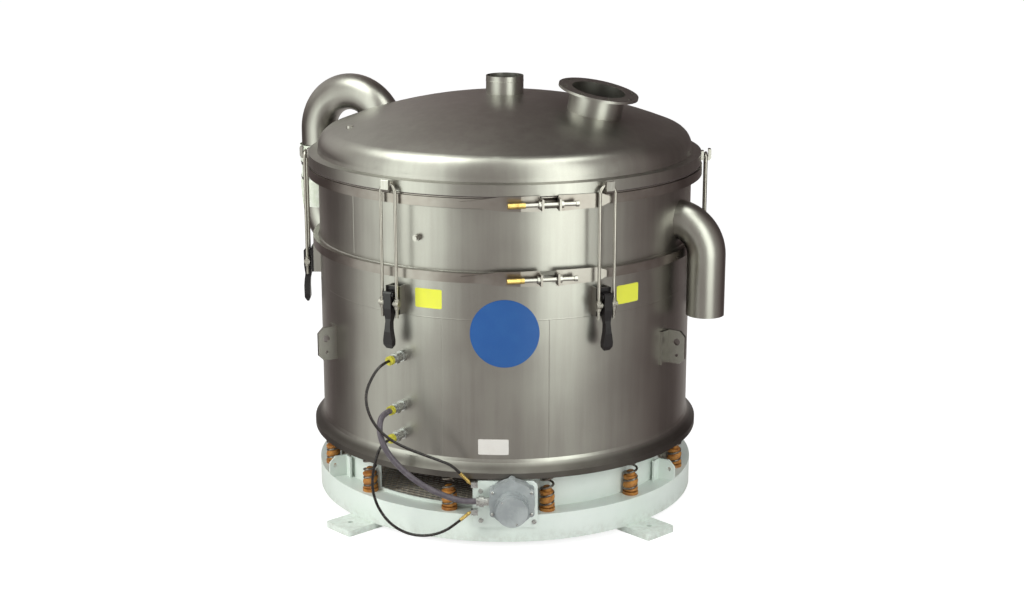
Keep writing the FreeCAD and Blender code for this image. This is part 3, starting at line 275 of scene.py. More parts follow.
def yellow_nylon():
    f = Finish("yellow_nylon")
    grime = f.noise(120, 4.0, 0.6)
    colour = f.mix(grime.span(0.45, 0.75), (0.54, 0.50, 0.035), (0.28, 0.25, 0.04))
    return f.coated(colour, 0.38 + grime * 0.2, 0.0, f.raised(grime, 0.08, 0.0004))


def zinc_plate():
    """Bright zinc with the frosted flakes of galvanising."""
    f = Finish("zinc_plate")
    flakes = f.node("ShaderNodeTexVoronoi", {}, {"Vector": f.place, "Scale": 160.0}, output=1)
    tone = f.node("ShaderNodeSeparateColor", {}, {0: flakes})
    cloud = f.noise(60, 3.0, 0.6)
    colour = f.mix(tone * 0.6 + cloud * 0.4, (0.40, 0.405, 0.40), (0.66, 0.67, 0.65))
    return f.coated(colour, 0.24 + tone * 0.16, 1.0, f.raised(cloud, 0.10, 0.0005))


def guard_steel():
    """Expanded mesh, zinc gone dull, with painted shade darkening it towards its middle, under the body."""
    f = Finish("guard_steel")
    dirt = f.noise(22, 4.0, 0.65)
    x, y = f.part_of_place(0), f.part_of_place(1)
    colour = f.mix(dirt.span(0.35, 0.7), (0.78, 0.74, 0.64), (0.52, 0.45, 0.36))
    # Painted shade: inside 0.64 m the colour falls to near-black brown, as in the shade under the body.
    colour = f.mix((x * x + y * y).root().span(0.64, 0.46), colour, (0.09, 0.07, 0.055))
    return f.coated(colour, 0.42 + dirt * 0.2, 0.25, f.raised(dirt, 0.10, 0.0006))


def sand_cast():
    """Painted cast aluminium with the skin of a sand mould."""
    f = Finish("sand_cast")
    skin = f.noise(420, 3.0, 0.7)
    stain = f.noise(17, 4.0, 0.6)
    colour = f.mix(stain.span(0.35, 0.7), (0.30, 0.325, 0.335), (0.41, 0.44, 0.445))
    colour = f.mix(skin.span(0.6, 0.8, 0.0, 0.3), colour, (0.17, 0.165, 0.17))
    return f.coated(colour, 0.5 + stain * 0.12, 0.25, f.raised(skin, 0.35, 0.0009))


def hose_cover():
    """Black rubber hose with the faint wrap of its curing cloth along it."""
    f = Finish("hose_cover")
    along = f.node("ShaderNodeUVMap", {"uv_map": "lay"})
    run = f.node("ShaderNodeSeparateXYZ", {}, {0: along}, output=0)
    turn = f.node("ShaderNodeSeparateXYZ", {}, {0: along}, output=1)
    wrap = ((run * 900 + turn * 6.2832) * 1.0).sine()
    grime = f.noise(90, 3.0, 0.6)
    colour = f.mix(grime.span(0.45, 0.75), (0.006, 0.003, 0.003), (0.030, 0.019, 0.018))
    return f.coated(colour, 0.18 + grime * 0.16, 0.0, f.raised(wrap, 0.22, 0.0005))


def conduit_cover():
    """Grey vinyl jacket drawn over a wound strip, whose turns show faintly."""
    f = Finish("conduit_cover")
    along = f.node("ShaderNodeUVMap", {"uv_map": "lay"})
    run = f.node("ShaderNodeSeparateXYZ", {}, {0: along}, output=0)
    ribs = (run * (2 * math.pi / 0.0052)).sine()
    grime = f.noise(50, 3.0, 0.6)
    colour = f.mix(grime.span(0.4, 0.75), (0.085, 0.072, 0.088), (0.135, 0.118, 0.132))
    return f.coated(colour, 0.36 + grime * 0.16, 0.0, f.raised(ribs, 0.25, 0.0005))


def gasket_rubber():
    f = Finish("gasket_rubber")
    grain = f.noise(300, 3.0, 0.6)
    colour = f.mix(grain.span(0.4, 0.7), (0.045, 0.035, 0.035), (0.085, 0.07, 0.068))
    return f.coated(colour, 0.6 + grain * 0.15, 0.0, f.raised(grain, 0.15, 0.0004))


def woven_wire():
    """Square-mesh wire cloth: two crossed sets of wires, each high where the other is low."""
    f = Finish("woven_wire")
    x, y = f.part_of_place(0), f.part_of_place(1)
    step = 2 * math.pi / 0.004
    weave = (x * step).sine() * (y * step).sine()
    wires = (x * (2 * step)).sine() * 0.5 + (y * (2 * step)).sine() * 0.5
    colour = f.mix(wires.span(-0.6, 0.3), (0.05, 0.045, 0.045), (0.50, 0.495, 0.47))
    return f.coated(colour, 0.34 + weave.span(-1, 1) * 0.1, 1.0, f.raised(weave + wires, 0.5, 0.0008))


def sleeve_cloth():
    """Pale coated cloth: fine square weave, greener and soiled in scattered patches."""
    f = Finish("sleeve_cloth")
    along = f.node("ShaderNodeUVMap", {"uv_map": "lay"})
    run = f.node("ShaderNodeSeparateXYZ", {}, {0: along}, output=0)
    turn = f.node("ShaderNodeSeparateXYZ", {}, {0: along}, output=1)
    weave = (run * 4200).sine() * (turn * 4200).sine()
    soil = f.noise(24, 4.0, 0.6)
    colour = f.mix(soil.span(0.35, 0.72), (0.80, 0.845, 0.745), (0.62, 0.70, 0.535))
    return f.coated(colour, 0.62 + soil * 0.1, 0.0, f.raised(weave, 0.25, 0.0004), Sheen_Weight=0.2)


def motor_enamel():
    f = Finish("motor_enamel")
    skin = f.noise(240, 3.0, 0.65)
    oil = f.noise(14, 4.0, 0.6)
    colour = f.mix(oil.span(0.4, 0.7), (0.055, 0.066, 0.072), (0.088, 0.10, 0.105))
    return f.coated(colour, 0.4 + oil * 0.15, 0.0, f.raised(skin, 0.2, 0.0006))


def ground_steel():
    f = Finish("ground_steel")
    lines = f.noise(1.0, 2.0, 0.5, f.turned_grain(600))
    colour = f.mix(lines.span(0.3, 0.7), (0.38, 0.375, 0.37), (0.50, 0.495, 0.485))
    return f.coated(colour, 0.26 + lines * 0.1, 1.0, f.raised(lines, 0.1, 0.0003))


def cast_iron():
    f = Finish("cast_iron")
    skin = f.noise(330, 3.0, 0.7)
    rust = f.noise(30, 4.0, 0.65)
    colour = f.mix(rust.span(0.45, 0.75), (0.045, 0.043, 0.044), (0.10, 0.06, 0.042))
    return f.coated(colour, 0.55 + rust * 0.15, 0.35, f.raised(skin, 0.35, 0.0009))


def enamelled_sign(name, colour, faded):
    """A plain enamelled plate, a little faded in patches."""
    f = Finish(name)
    fade = f.noise(18, 4.0, 0.6)
    specks = f.noise(300, 2.0)
    return f.coated(f.mix(fade.span(0.4, 0.75, 0.0, 0.3), colour, faded), 0.30 + fade * 0.15, 0.0,
                    f.raised(specks, 0.05, 0.0003))


blasted, rolled, drawn = blasted_stainless(), rolled_stainless(), drawn_stainless()
paint, rubber, spring_wire = base_paint(), moulded_rubber(), oiled_spring()
enamel, brass, nylon, zinc = black_enamel(), turned_brass(), yellow_nylon(), zinc_plate()
cast, hose_black, conduit_grey = sand_cast(), hose_cover(), conduit_cover()
gasket, wire, cloth = gasket_rubber(), woven_wire(), sleeve_cloth()
rod, mesh_steel = threaded_rod(), guard_steel()

COATS = {
    blasted: ("lower_frame", "middle_frame", "lid_cover", "centre_inlet", "flanged_inlet", "vent_bend", "vent_elbow",
              "oversize_spout", "undersize_spout", "screen_ring", "discharge_pan", "lifting_lugs", "latch_brackets",
              "motor_mount"),
    rolled: ("clamp_ring_lower", "clamp_ring_upper", "lid_seat_ring"),
    drawn: ("lid_hooks", "ring_draw_bolts", "capped_ports"),
    rod: tuple("latch_bail_%d" % number for number in range(1, 7)),
    paint: ("base_ring", "mounting_feet", "tie_down_tabs", "junction_plate"),
    mesh_steel: ("spring_guard",),
    rubber: ("spring_seats", "spring_caps"),
    spring_wire: ("suspension_springs",),
    enamel: ("latch_bases",) + tuple("latch_handle_%d" % number for number in range(1, 7)),
    brass: ("ring_barrel_nuts", "hose_ferrules"),
    nylon: ("coupling_bushings",),
    zinc: ("sleeve_clamps", "shell_couplings", "plate_fittings"),
    cast: ("junction_box", "junction_cover"),
    hose_black: ("grease_hose_upper", "grease_hose_lower"),
    conduit_grey: ("power_conduit",),
    gasket: ("joint_gaskets",),
    wire: ("screen_cloth",),
    cloth: ("vent_sleeve",),
    motor_enamel(): ("motor_housing",),
    ground_steel(): ("rotor_shaft", "motor_bearings"),
    cast_iron(): ("upper_weight", "lower_weight"),
}
for coat, names in COATS.items():
    for name in names:
        nodes[name].data.materials.clear()
        nodes[name].data.materials.append(coat)


# ---------------------------------------------------------------- surfaces


def round_machine(radius, turn, level):
    """Points at a radius, a turn in degrees and a height; the arguments may be arrays."""
    angle = np.radians(turn)
    return np.stack(np.broadcast_arrays(radius * np.sin(angle), -radius * np.cos(angle), level), -1)


def facing(points, turn):
    """Points built along +X, turned round Z so that they face the given turn."""
    angle = math.radians(turn - 90)
    x, y, z = np.moveaxis(np.asarray(points, float), -1, 0)
    return np.stack([x * math.cos(angle) - y * math.sin(angle), x * math.sin(angle) + y * math.cos(angle), z], -1)


def quads(grid, round_rows=False, round_columns=False):
    """Corner numbers of the four-sided faces between neighbouring rows and columns of a grid."""
    rows, columns = grid.shape[:2]
    numbers = np.arange(rows * columns).reshape(rows, columns)
    if round_rows:
        numbers = np.vstack([numbers, numbers[:1]])
    if round_columns:
        numbers = np.hstack([numbers, numbers[:, :1]])
    return np.stack([numbers[:-1, :-1], numbers[1:, :-1], numbers[1:, 1:], numbers[:-1, 1:]], -1).reshape(-1, 4)


def sides_along(line):
    """Two unit directions square to a line at each of its points: its own direction crossed with
    the one that it keeps clear of, and its own crossed with that."""
    ahead = np.gradient(line, axis=0)
    ahead /= np.linalg.norm(ahead, axis=1, keepdims=True)
    clear = np.linalg.svd(ahead)[2][-1]
    side = np.cross(ahead, clear)
    side /= np.linalg.norm(side, axis=1, keepdims=True)
    return side, np.cross(ahead, side)


def tube(line, radius, sides=16, closed=True):
    """A tube: point = line + radius (cos a side + sin a lift), with a from 0 to a full turn.
    Radius is one number or one for each point; closed ends draw in to the line itself."""
    line = np.asarray(line, float)
    radius = np.broadcast_to(np.asarray(radius, float), (len(line),))
    side, lift = sides_along(line)
    if closed:
        line = np.vstack([line[:1], line, line[-1:]])
        side, lift = (np.vstack([v[:1], v, v[-1:]]) for v in (side, lift))
        radius = np.concatenate([[0.0], radius, [0.0]])
    turn = np.linspace(0, 2 * np.pi, sides, endpoint=False)
    return (line[:, None] + radius[:, None, None]
            * (np.cos(turn)[None, :, None] * side[:, None] + np.sin(turn)[None, :, None] * lift[:, None]))


def lathed(profile, centre, axis, sides=32):
    """A profile of (distance along the axis, radius) pairs turned about that axis."""
    along, radius = np.array(profile, float).T
    axis = np.asarray(axis, float) / np.linalg.norm(axis)
    side = np.cross(axis, [0.31, 0.17, 0.93] if abs(axis[2]) < 0.9 else [1.0, 0.0, 0.0])
    side /= np.linalg.norm(side)
    lift = np.cross(axis, side)
    turn = np.linspace(0, 2 * np.pi, sides, endpoint=False)
    ring = np.cos(turn)[None, :, None] * side + np.sin(turn)[None, :, None] * lift
    return np.asarray(centre, float) + along[:, None, None] * axis + radius[:, None, None] * ring


def hexagon(across, low, high, centre, axis, chamfer=0.15):
    """A six-sided nut or head: radius = half flats / cos(angle from the nearest flat's middle),
    drawn in at both ends by the chamfer."""
    grid = lathed([(low, 0), (low, 1), (low + chamfer * (high - low), 1), (high - chamfer * (high - low), 1),
                   (high, 1), (high, 0)], (0, 0, 0), axis, 36)
    middle = np.asarray(axis, float) / np.linalg.norm(axis)
    depth = grid @ middle
    out = grid - depth[..., None] * middle
    turn = np.linspace(0, 2 * np.pi, 36, endpoint=False)
    flat = across / 2 / np.cos((turn + np.pi / 6) % (np.pi / 3) - np.pi / 6)
    limit = np.array([0, 0.5, 1, 1, 0.5, 0])[:, None]
    size = np.where(limit == 0, 0, np.where(limit < 1, np.minimum(flat, across * 0.5), flat))
    return np.asarray(centre, float) + depth[..., None] * middle + out * size[..., None]


def piece(name, patches, coat, body=None, smooth=True, lay=None, replaces=()):
    """One mesh piece from grids and their faces. Doubled points are merged, which closes seams
    and poles, and the faces are turned outwards. lay gives each point a place in metres for patterns
    that follow the surface."""
    points = np.concatenate([grid.reshape(-1, 3) for grid, faces in patches])
    starts = np.cumsum([0] + [grid.shape[0] * grid.shape[1] for grid, faces in patches[:-1]])
    corners = np.concatenate([faces + start for (grid, faces), start in zip(patches, starts)])
    mesh = bpy.data.meshes.new(name)
    mesh.vertices.add(len(points))
    mesh.vertices.foreach_set("co", points.astype(np.float32).ravel())
    mesh.loops.add(corners.size)
    mesh.loops.foreach_set("vertex_index", corners.astype(np.int32).ravel())
    mesh.polygons.add(len(corners))
    mesh.polygons.foreach_set("loop_start", np.arange(0, corners.size, 4, dtype=np.int32))
    mesh.update(calc_edges=True)
    if lay is not None:
        spread = mesh.uv_layers.new(name="lay")
        spread.data.foreach_set("uv", lay.reshape(-1, 2)[corners.ravel()].astype(np.float32).ravel())
    shell = bmesh.new()
    shell.from_mesh(mesh)
    bmesh.ops.remove_doubles(shell, verts=shell.verts, dist=1e-6)
    bmesh.ops.dissolve_degenerate(shell, dist=1e-7, edges=shell.edges)
    bmesh.ops.recalc_face_normals(shell, faces=shell.faces)
    shell.to_mesh(mesh)
    shell.free()
    mesh.polygons.foreach_set("use_smooth", np.full(len(mesh.polygons), smooth))
    if smooth:
        mesh.set_sharp_from_angle(angle=math.radians(38))
    mesh.materials.append(coat)
    made = bpy.data.objects.new(name, mesh)
    bpy.context.scene.collection.objects.link(made)
    if body:
        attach(made, body)
    if replaces:
        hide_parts(*replaces)
    return made


# ---------------------------------------------------------------- camera


eye = bpy.data.cameras.new("eye")
eye.lens = 63.98
eye.sensor_width = 36.0
camera = bpy.data.objects.new("camera", eye)
camera.location = (0.28290, -7.36373, 2.7058)
camera.rotation_euler = (math.radians(75.21), 0.0, math.radians(1.972))
bpy.context.scene.collection.objects.link(camera)
bpy.context.scene.camera = camera


# ---------------------------------------------------------------- hoses and conduit


def ferrule(name, start, end, replaces=()):
    """A crimped hose end: a sleeve with four pressed grooves, a hexagon and a stub, turned about the line
    from the hose's end to its block. The groove's depth is the square of a sine."""
    start, end = np.array(start) / 1000, np.array(end) / 1000
    reach = np.linalg.norm(end - start)
    groove = np.linspace(0.004, reach * 0.58, 33)
    crimp = 0.0072 - 0.0011 * np.sin(np.pi * 4 * (groove - groove[0]) / (groove[-1] - groove[0])) ** 2
    sleeve_profile = [(0, 0.0), (0, 0.0066)] + list(zip(groove, crimp)) + [
        (reach * 0.60, 0.0056), (reach * 0.66, 0.0056), (reach * 0.66, 0.0)]
    stub_end = reach - 0.0012
    grids = [lathed(sleeve_profile, start, end - start, 24),
             hexagon(0.0135, reach * 0.66, reach * 0.83, start, end - start),
             lathed([(reach * 0.83, 0), (reach * 0.83, 0.0052), (stub_end, 0.0052), (stub_end, 0)], start, end - start, 20)]
    return piece(name, [(grid, quads(grid, round_columns=True)) for grid in grids], brass, "base",
                 replaces=replaces)


def laid_line(route):
    """The smooth line of a hose: a NURBS spline with the route's points as its control points."""
    curve = bpy.data.curves.new("route", "CURVE")
    curve.dimensions = "3D"
    spline = curve.splines.new("NURBS")
    spline.points.add(len(route) - 1)
    spline.points.foreach_set("co", np.hstack([route, np.ones((len(route), 1))]).astype(np.float32).ravel())
    spline.order_u = 3
    spline.use_endpoint_u = True
    spline.resolution_u = 12
    holder = bpy.data.objects.new("route", curve)
    mesh = bpy.data.meshes.new_from_object(holder)
    line = np.zeros(len(mesh.vertices) * 3, np.float32)
    mesh.vertices.foreach_get("co", line)
    bpy.data.objects.remove(holder)
    bpy.data.curves.remove(curve)
    bpy.data.meshes.remove(mesh)
    return line.reshape(-1, 3).astype(float)


def hose(node, route, radius, coat, sides):
    """A mesh tube on the laid line in place of a node, running between the body and the base."""
    line = laid_line(np.array(route) / 1000.0)
    grid = tube(line, radius, sides)
    steps = np.linalg.norm(np.diff(line, axis=0), axis=1)
    run = np.concatenate([[0.0], np.cumsum(steps)])
    run = np.concatenate([run[:1], run, run[-1:]])
    lay = np.stack(np.broadcast_arrays(run[:, None], np.linspace(0, 1, sides, endpoint=False)[None]), -1)
    made = piece(node + "_tube", [(grid, quads(grid, round_columns=True))], coat, lay=lay, replaces=(node,))
    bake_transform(made)


UPPER_ROUTE = [(-413.1, -745.2, 740), (-432.5, -780.2, 740), (-460.3, -811.4, 716.6), (-491, -836.7, 655.5),
               (-492.2, -851, 602.2), (-474, -861, 548), (-441, -868, 501), (-394, -869, 463),
               (-341, -866, 433.5), (-289, -861.5, 411), (-242, -855, 391), (-204.6, -846.5, 374),
               (-168.2, -833.3, 353.2), (-141.3, -821.9, 320.3)]
LOWER_ROUTE = [(-413.1, -745.2, 427), (-432.5, -780.2, 427), (-450, -811, 408), (-462, -828, 372),
               (-474, -827, 318), (-481, -800, 250), (-472, -779, 186), (-453.9, -768, 139),
               (-426.5, -771.4, 101.7), (-388.9, -781.4, 74), (-341.8, -796.2, 58.5), (-290.9, -812, 57.6),
               (-243.7, -824.4, 68.2), (-206.6, -829.7, 84), (-172.4, -828, 104.2), (-141.4, -817.9, 127.3)]
CONDUIT_ROUTE = [(-413.1, -745.2, 541), (-436.3, -787.1, 541), (-445, -828, 517), (-441, -852, 477),
                 (-420, -863, 424), (-383.1, -860, 372), (-344.7, -854.6, 329.8), (-304.9, -849, 295),
                 (-262.8, -842.7, 265.6), (-215.9, -836.2, 239.8), (-165.8, -830.8, 218.7),
                 (-123.3, -828.34, 208), (-79.33, -826.65, 208)]
upper_end = ferrule("upper_ferrule", (-141.3, -821.9, 320.3), (-100.19, -804.44, 270), ("hose_ferrules",))
lower_end = ferrule("lower_ferrule", (-141.4, -817.9, 127.3), (-100.19, -804.44, 158))
hose("grease_hose_upper", UPPER_ROUTE, 0.0055, hose_black, 18)
hose("grease_hose_lower", LOWER_ROUTE, 0.0055, hose_black, 18)
hose("power_conduit", CONDUIT_ROUTE, 0.0115, conduit_grey, 24)


# ---------------------------------------------------------------- suspension


def spring_line(turn, count=150):
    """A coil: the angle grows evenly over 4.75 turns, and the height follows a rate that is low
    in the closed end turns and full between them."""
    share = np.linspace(0, 1, count)
    rate = np.clip(np.minimum(share, 1 - share) / 0.17, 0.14, 1.0)
    climb = np.concatenate([[0], np.cumsum((rate[1:] + rate[:-1]) / 2)])
    climb /= climb[-1]
    angle = 2 * np.pi * 4.75 * share
    height = 0.1505 + climb * (0.2865 - 0.1505)
    centre = round_machine(0.735, turn, 0.0)
    return centre + np.stack([0.0245 * np.cos(angle), 0.0245 * np.sin(angle), height], -1)


def springs():
    patches = []
    for number in range(12):
        grid = tube(spring_line(15 + 30 * number), 0.0045, 10)
        patches.append((grid, quads(grid, round_columns=True)))
    made = piece("coil_springs", patches, spring_wire, replaces=("suspension_springs",))
    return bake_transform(made)


def spring_lobes():
    """Rubber that fills each spring's lower turns and swells between them: over height and angle the
    radius is 24.2 mm plus up to 6.4 mm times the sine of the phase between one turn of wire and the next."""
    patches = []
    share, rise = np.linspace(0, 1, 400), np.linspace(0.152, 0.214, 48)
    for number in range(12):
        line = spring_line(15 + 30 * number, 400)
        turns = 4.75 * share
        around = np.linspace(0, 1, 36, endpoint=False)
        wire_turn = np.interp(rise, line[:, 2], turns)
        phase = (wire_turn[:, None] - around[None]) % 1.0
        swell = np.sin(np.pi * phase) ** 0.7
        taper = np.clip((rise[-1] - rise) / 0.006, 0, 1) ** 0.5
        radius = (0.0205 + 0.0095 * swell * (0.35 + 0.65 * taper[:, None]))
        angle = 2 * np.pi * around
        grid = np.stack([radius * np.cos(angle), radius * np.sin(angle), np.broadcast_to(rise[:, None], radius.shape)], -1)
        grid = grid + round_machine(0.735, 15 + 30 * number, 0.0)
        for end in (0, -1):
            middle = grid[end].mean(0)
            cap = np.broadcast_to(middle, grid[end].shape)
            grid = np.concatenate([cap[None], grid] if end == 0 else [grid, cap[None]])
        patches.append((grid, quads(grid, round_columns=True)))
    made = piece("spring_lobes", patches, rubber)
    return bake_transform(made)


springs()
spring_lobes()


def expanded_guard():
    """Expanded metal: each strand runs across the disc in steps, y = row + half a row times a wave of x that
    is flat over the knots and slopes between them. The next strand is mirrored, so that knots meet. Strands
    end at the rim."""
    row, period, knot, outer = 0.0132, 0.0480, 0.0050, 0.676
    rows = np.arange(-int(outer / row), int(outer / row) + 1)
    steps = np.arange(-28, 29)
    ends = (steps[:, None] * (period / 2) + np.array([-knot, knot])[None]).ravel()
    side = np.where((np.repeat(steps, 2)[None] + rows[:, None]) % 2 == 0, 0.5, -0.5)
    level = rows[:, None] * row
    limit = np.sqrt(np.maximum(outer ** 2 - level ** 2, 1e-6))
    x = np.clip(np.broadcast_to(ends[None], side.shape), -limit, limit)
    line = np.stack([x, level + side * (row - 0.0040), np.full(x.shape, 0.130)], -1)
    patches = []
    corners = np.array([(0.0, -0.0022, -0.0018), (0.0, 0.0018, -0.0012), (0.0, 0.0022, 0.0018), (0.0, -0.0018, 0.0012)])
    for strand in line:
        grid = strand[:, None] + corners[None]
        patches.append((grid, quads(grid, round_columns=True)))
    turn = np.linspace(0, 360, 181)[:-1]
    section = [(0.673, 0.1281), (0.673, 0.1319), (0.6969, 0.1319), (0.6969, 0.1281)]
    rim = np.stack([round_machine(r, turn, z) for r, z in section], 1)
    patches.append((rim, quads(rim, round_rows=True, round_columns=True)))
    return piece("expanded_guard", patches, mesh_steel, "base", smooth=False, replaces=("spring_guard",))


expanded_guard()


# ---------------------------------------------------------------- vent sleeve


def vent_sleeve():
    """A cloth sleeve: its radius follows a profile over height, plus pleats whose depth fades to nothing at
    both bands, and the wall is a doubled skin 1.2 mm thick."""
    rise = np.linspace(1.109, 1.377, 90)
    turn = np.linspace(0, 2 * np.pi, 120, endpoint=False)
    profile = np.interp(rise, [1.109, 1.122, 1.150, 1.200, 1.218, 1.228, 1.297, 1.303, 1.312, 1.345, 1.377],
                        [0.0775, 0.0788, 0.0812, 0.0848, 0.0846, 0.0805, 0.0798, 0.0805, 0.0848, 0.0862, 0.0858])
    slack = np.interp(rise, [1.109, 1.130, 1.205, 1.225, 1.240, 1.285, 1.300, 1.310, 1.340, 1.377],
                      [0.1, 0.5, 1.0, 0.3, 0.25, 0.25, 0.15, 0.6, 1.0, 0.9])
    folds = (np.sin(5 * turn[None] + 9 * rise[:, None]) + 0.6 * np.sin(9 * turn[None] - 26 * rise[:, None] + 1.3)
             + 0.35 * np.sin(17 * turn[None] + 60 * rise[:, None]))
    radius = profile[:, None] + 0.0009 * slack[:, None] * folds
    centre = round_machine(0.920, -117, 0.0)
    outer = np.stack([radius * np.cos(turn), radius * np.sin(turn), np.broadcast_to(rise[:, None], radius.shape)], -1)
    inner = outer * np.array([1, 1, 1])
    inner[..., :2] *= ((radius - 0.0012) / radius)[..., None]
    grid = np.concatenate([outer, inner[::-1]]) + centre
    run = np.concatenate([rise, rise[::-1]])
    lay = np.stack(np.broadcast_arrays(run[:, None], turn[None] * 0.08), -1)
    made = piece("cloth_sleeve", [(grid, quads(grid, round_rows=True, round_columns=True))], cloth,
                 "sieve", lay=lay, replaces=("vent_sleeve",))
    return made


sleeve = vent_sleeve()


# ---------------------------------------------------------------- plates, seams and screws


def wall_patch(across, up, turn, level, radius=SHELL, thick=0.0009):
    """A thin plate on the round wall. across and up are grids of distances from its middle; the plate
    is its face, pushed out by its thickness, and a skirt back to the wall."""
    def on_wall(a, u, out):
        return round_machine(radius + out, turn + np.degrees(a / radius), level + u)
    face = on_wall(across, up, thick)
    rim = on_wall(across[:1] * 1.004, up[:1] * 1.004, thick * 0.4)
    foot = on_wall(across[:1] * 1.004, up[:1] * 1.004, -0.0004)
    back = on_wall(across * 1.004, up * 1.004, -0.0004)
    return np.concatenate([back[::-1], foot, rim, face])


def round_plate(name, size, turn, level, coat):
    """Distance from the middle runs from the edge inwards on rows, the angle on columns."""
    share, angle = np.linspace(1, 0, 10)[:, None], np.linspace(0, 2 * np.pi, 72, endpoint=False)[None]
    grid = wall_patch(size * share * np.cos(angle), size * share * np.sin(angle), turn, level)
    return piece(name, [(grid, quads(grid, round_columns=True))], coat, "sieve")


def square_plate(name, width, height, turn, level, coat, corner=0.006):
    """As the round plate, on a rectangle's outline: each ray from the middle reaches the nearer side, and
    points past both sides' straight parts are drawn in to the corner's quarter circle."""
    angle = np.linspace(0, 2 * np.pi, 96, endpoint=False)
    reach = 1 / np.maximum(np.abs(np.cos(angle)), np.abs(np.sin(angle)))
    x = np.cos(angle) * reach * (width / 2)
    y = np.sin(angle) * reach * (height / 2)
    inset_x, inset_y = width / 2 - corner, height / 2 - corner
    over_x, over_y = np.abs(x) - inset_x, np.abs(y) - inset_y
    both = (over_x > 0) & (over_y > 0)
    far = np.maximum(np.hypot(over_x, over_y), 1e-9)
    x = np.where(both, np.sign(x) * (inset_x + over_x * corner / far), x)
    y = np.where(both, np.sign(y) * (inset_y + over_y * corner / far), y)
    share = np.linspace(1, 0, 6)[:, None]
    grid = wall_patch(share * x[None], share * y[None], turn, level)
    return piece(name, [(grid, quads(grid, round_columns=True))], coat, "sieve")


round_plate("blue_disc_plate", 0.132, 2.1, 0.856,
            enamelled_sign("blue_enamel", (0.007, 0.082, 0.30), (0.016, 0.115, 0.34)))
yellow = enamelled_sign("yellow_enamel", (0.78, 0.80, 0.06), (0.70, 0.70, 0.10))
square_plate("yellow_plate_left", 0.110, 0.075, -20.2, 0.980, yellow)
square_plate("yellow_plate_right", 0.110, 0.073, 40.4, 0.972, yellow)
square_plate("white_plate", 0.117, 0.062, -1.2, 0.405,
             enamelled_sign("white_enamel", (0.72, 0.70, 0.66), (0.60, 0.55, 0.50)), 0.003)


def seam_round(radius, level, width, proud, turns=360):
    """A weld run round the wall: a low half wave of that width and height, rippled along its run."""
    turn = np.linspace(0, 360, turns, endpoint=False)
    share = np.linspace(-1, 1, 7)
    ripple = 1 + 0.18 * np.sin(np.radians(turn) * 420)
    out = radius - 0.0006 + (proud + 0.0006) * (1 - share[None] ** 2) * ripple[:, None]
    return round_machine(out, turn[:, None], level + share[None] * width / 2)


def seam_upright(radius, turn, low, high, width, proud):
    """The same bead running up the wall."""
    rise = np.linspace(low, high, int((high - low) / 0.0015))
    share = np.linspace(-1, 1, 7)
    ripple = 1 + 0.18 * np.sin(rise * 2100)
    out = radius - 0.0006 + (proud + 0.0006) * (1 - share[None] ** 2) * ripple[:, None]
    return round_machine(out, turn + np.degrees(share[None] * width / 2 / radius), rise[:, None])


def seams():
    patches = []
    for grid, whole in ((seam_round(SHELL, 0.907, 0.005, 0.0006), True),
                        (seam_round(0.0762, 1.712, 0.004, 0.0011), True),
                        (seam_upright(SHELL, 14.9, 0.316, 0.905, 0.004, 0.0006), False),
                        (seam_upright(SHELL, -16.3, 0.316, 0.905, 0.004, 0.0006), False),
                        (seam_upright(SHELL, 190, 0.316, 1.055, 0.004, 0.0006), False),
                        (seam_upright(SHELL, -48, 1.10, 1.34, 0.004, 0.0006), False)):
        patches.append((grid, quads(grid, round_rows=whole)))
    return piece("wall_seams", patches, blasted, "sieve")


seams()


def screw(centre, axis, size, across, washer=True):
    """A hexagon head on a washer: grids of both about one axis."""
    grids = [hexagon(across, 0.0016, size, centre, axis)]
    if washer:
        grids.append(lathed([(-0.001, 0), (-0.001, across * 0.72), (0.0014, across * 0.72), (0.0016, across * 0.68),
                             (0.0016, 0)], centre, axis, 24))
    return [(grid, quads(grid, round_columns=True)) for grid in grids]


def pan_head(centre, axis, radius, height):
    """A rounded screw head: radius falls as the root of one less the square of the height share."""
    share = np.linspace(0, 1, 8)
    profile = [(-0.001, 0.0), (-0.001, radius)] + list(zip(share * height, radius * np.sqrt(1 - 0.96 * share ** 2.4))) + [
        (height, 0.0)]
    grid = lathed(profile, centre, axis, 20)
    return [(grid, quads(grid, round_columns=True))]


def box_screws():
    """Screws of the junction box: one on each lobe but the top one, two on the cover and three on the plate."""
    out = facing((1.0, 0.0, 0.0), PLATE_TURN)
    patches = []
    for turn in (90, 30, -30, -90, 210, 150):
        arm = math.radians(turn)
        y, z = 0.026 + 0.086 * math.cos(arm), 0.208 + 0.086 * math.sin(arm)
        if z < 0.27:
            patches += pan_head(facing((0.848, y, z), PLATE_TURN), out, 0.0068, 0.004)
    for y, z in ((-0.012, 0.229), (0.044, 0.142)):
        patches += pan_head(facing((0.8996, y, z), PLATE_TURN), out, 0.0042, 0.0008)
    for y, z in ((-0.094, 0.238), (-0.094, 0.118), (0.112, 0.112)):
        patches += screw(facing((0.7914, y, z), PLATE_TURN), out, 0.0085, 0.0135)
    return piece("box_screws", patches, zinc, "base")


box_screws()


# ---------------------------------------------------------------- floor, lamps and world


def stage_piece(name, points, faces, coat, unseen):
    """A mesh of the studio, hidden from the kinds of ray that are named."""
    mesh = bpy.data.meshes.new(name)
    mesh.from_pydata(np.asarray(points).reshape(-1, 3).tolist(), [], np.asarray(faces).tolist())
    mesh.materials.append(coat)
    made = bpy.data.objects.new(name, mesh)
    bpy.context.scene.collection.objects.link(made)
    for ray in unseen:
        setattr(made, "visible_" + ray, False)
    return made


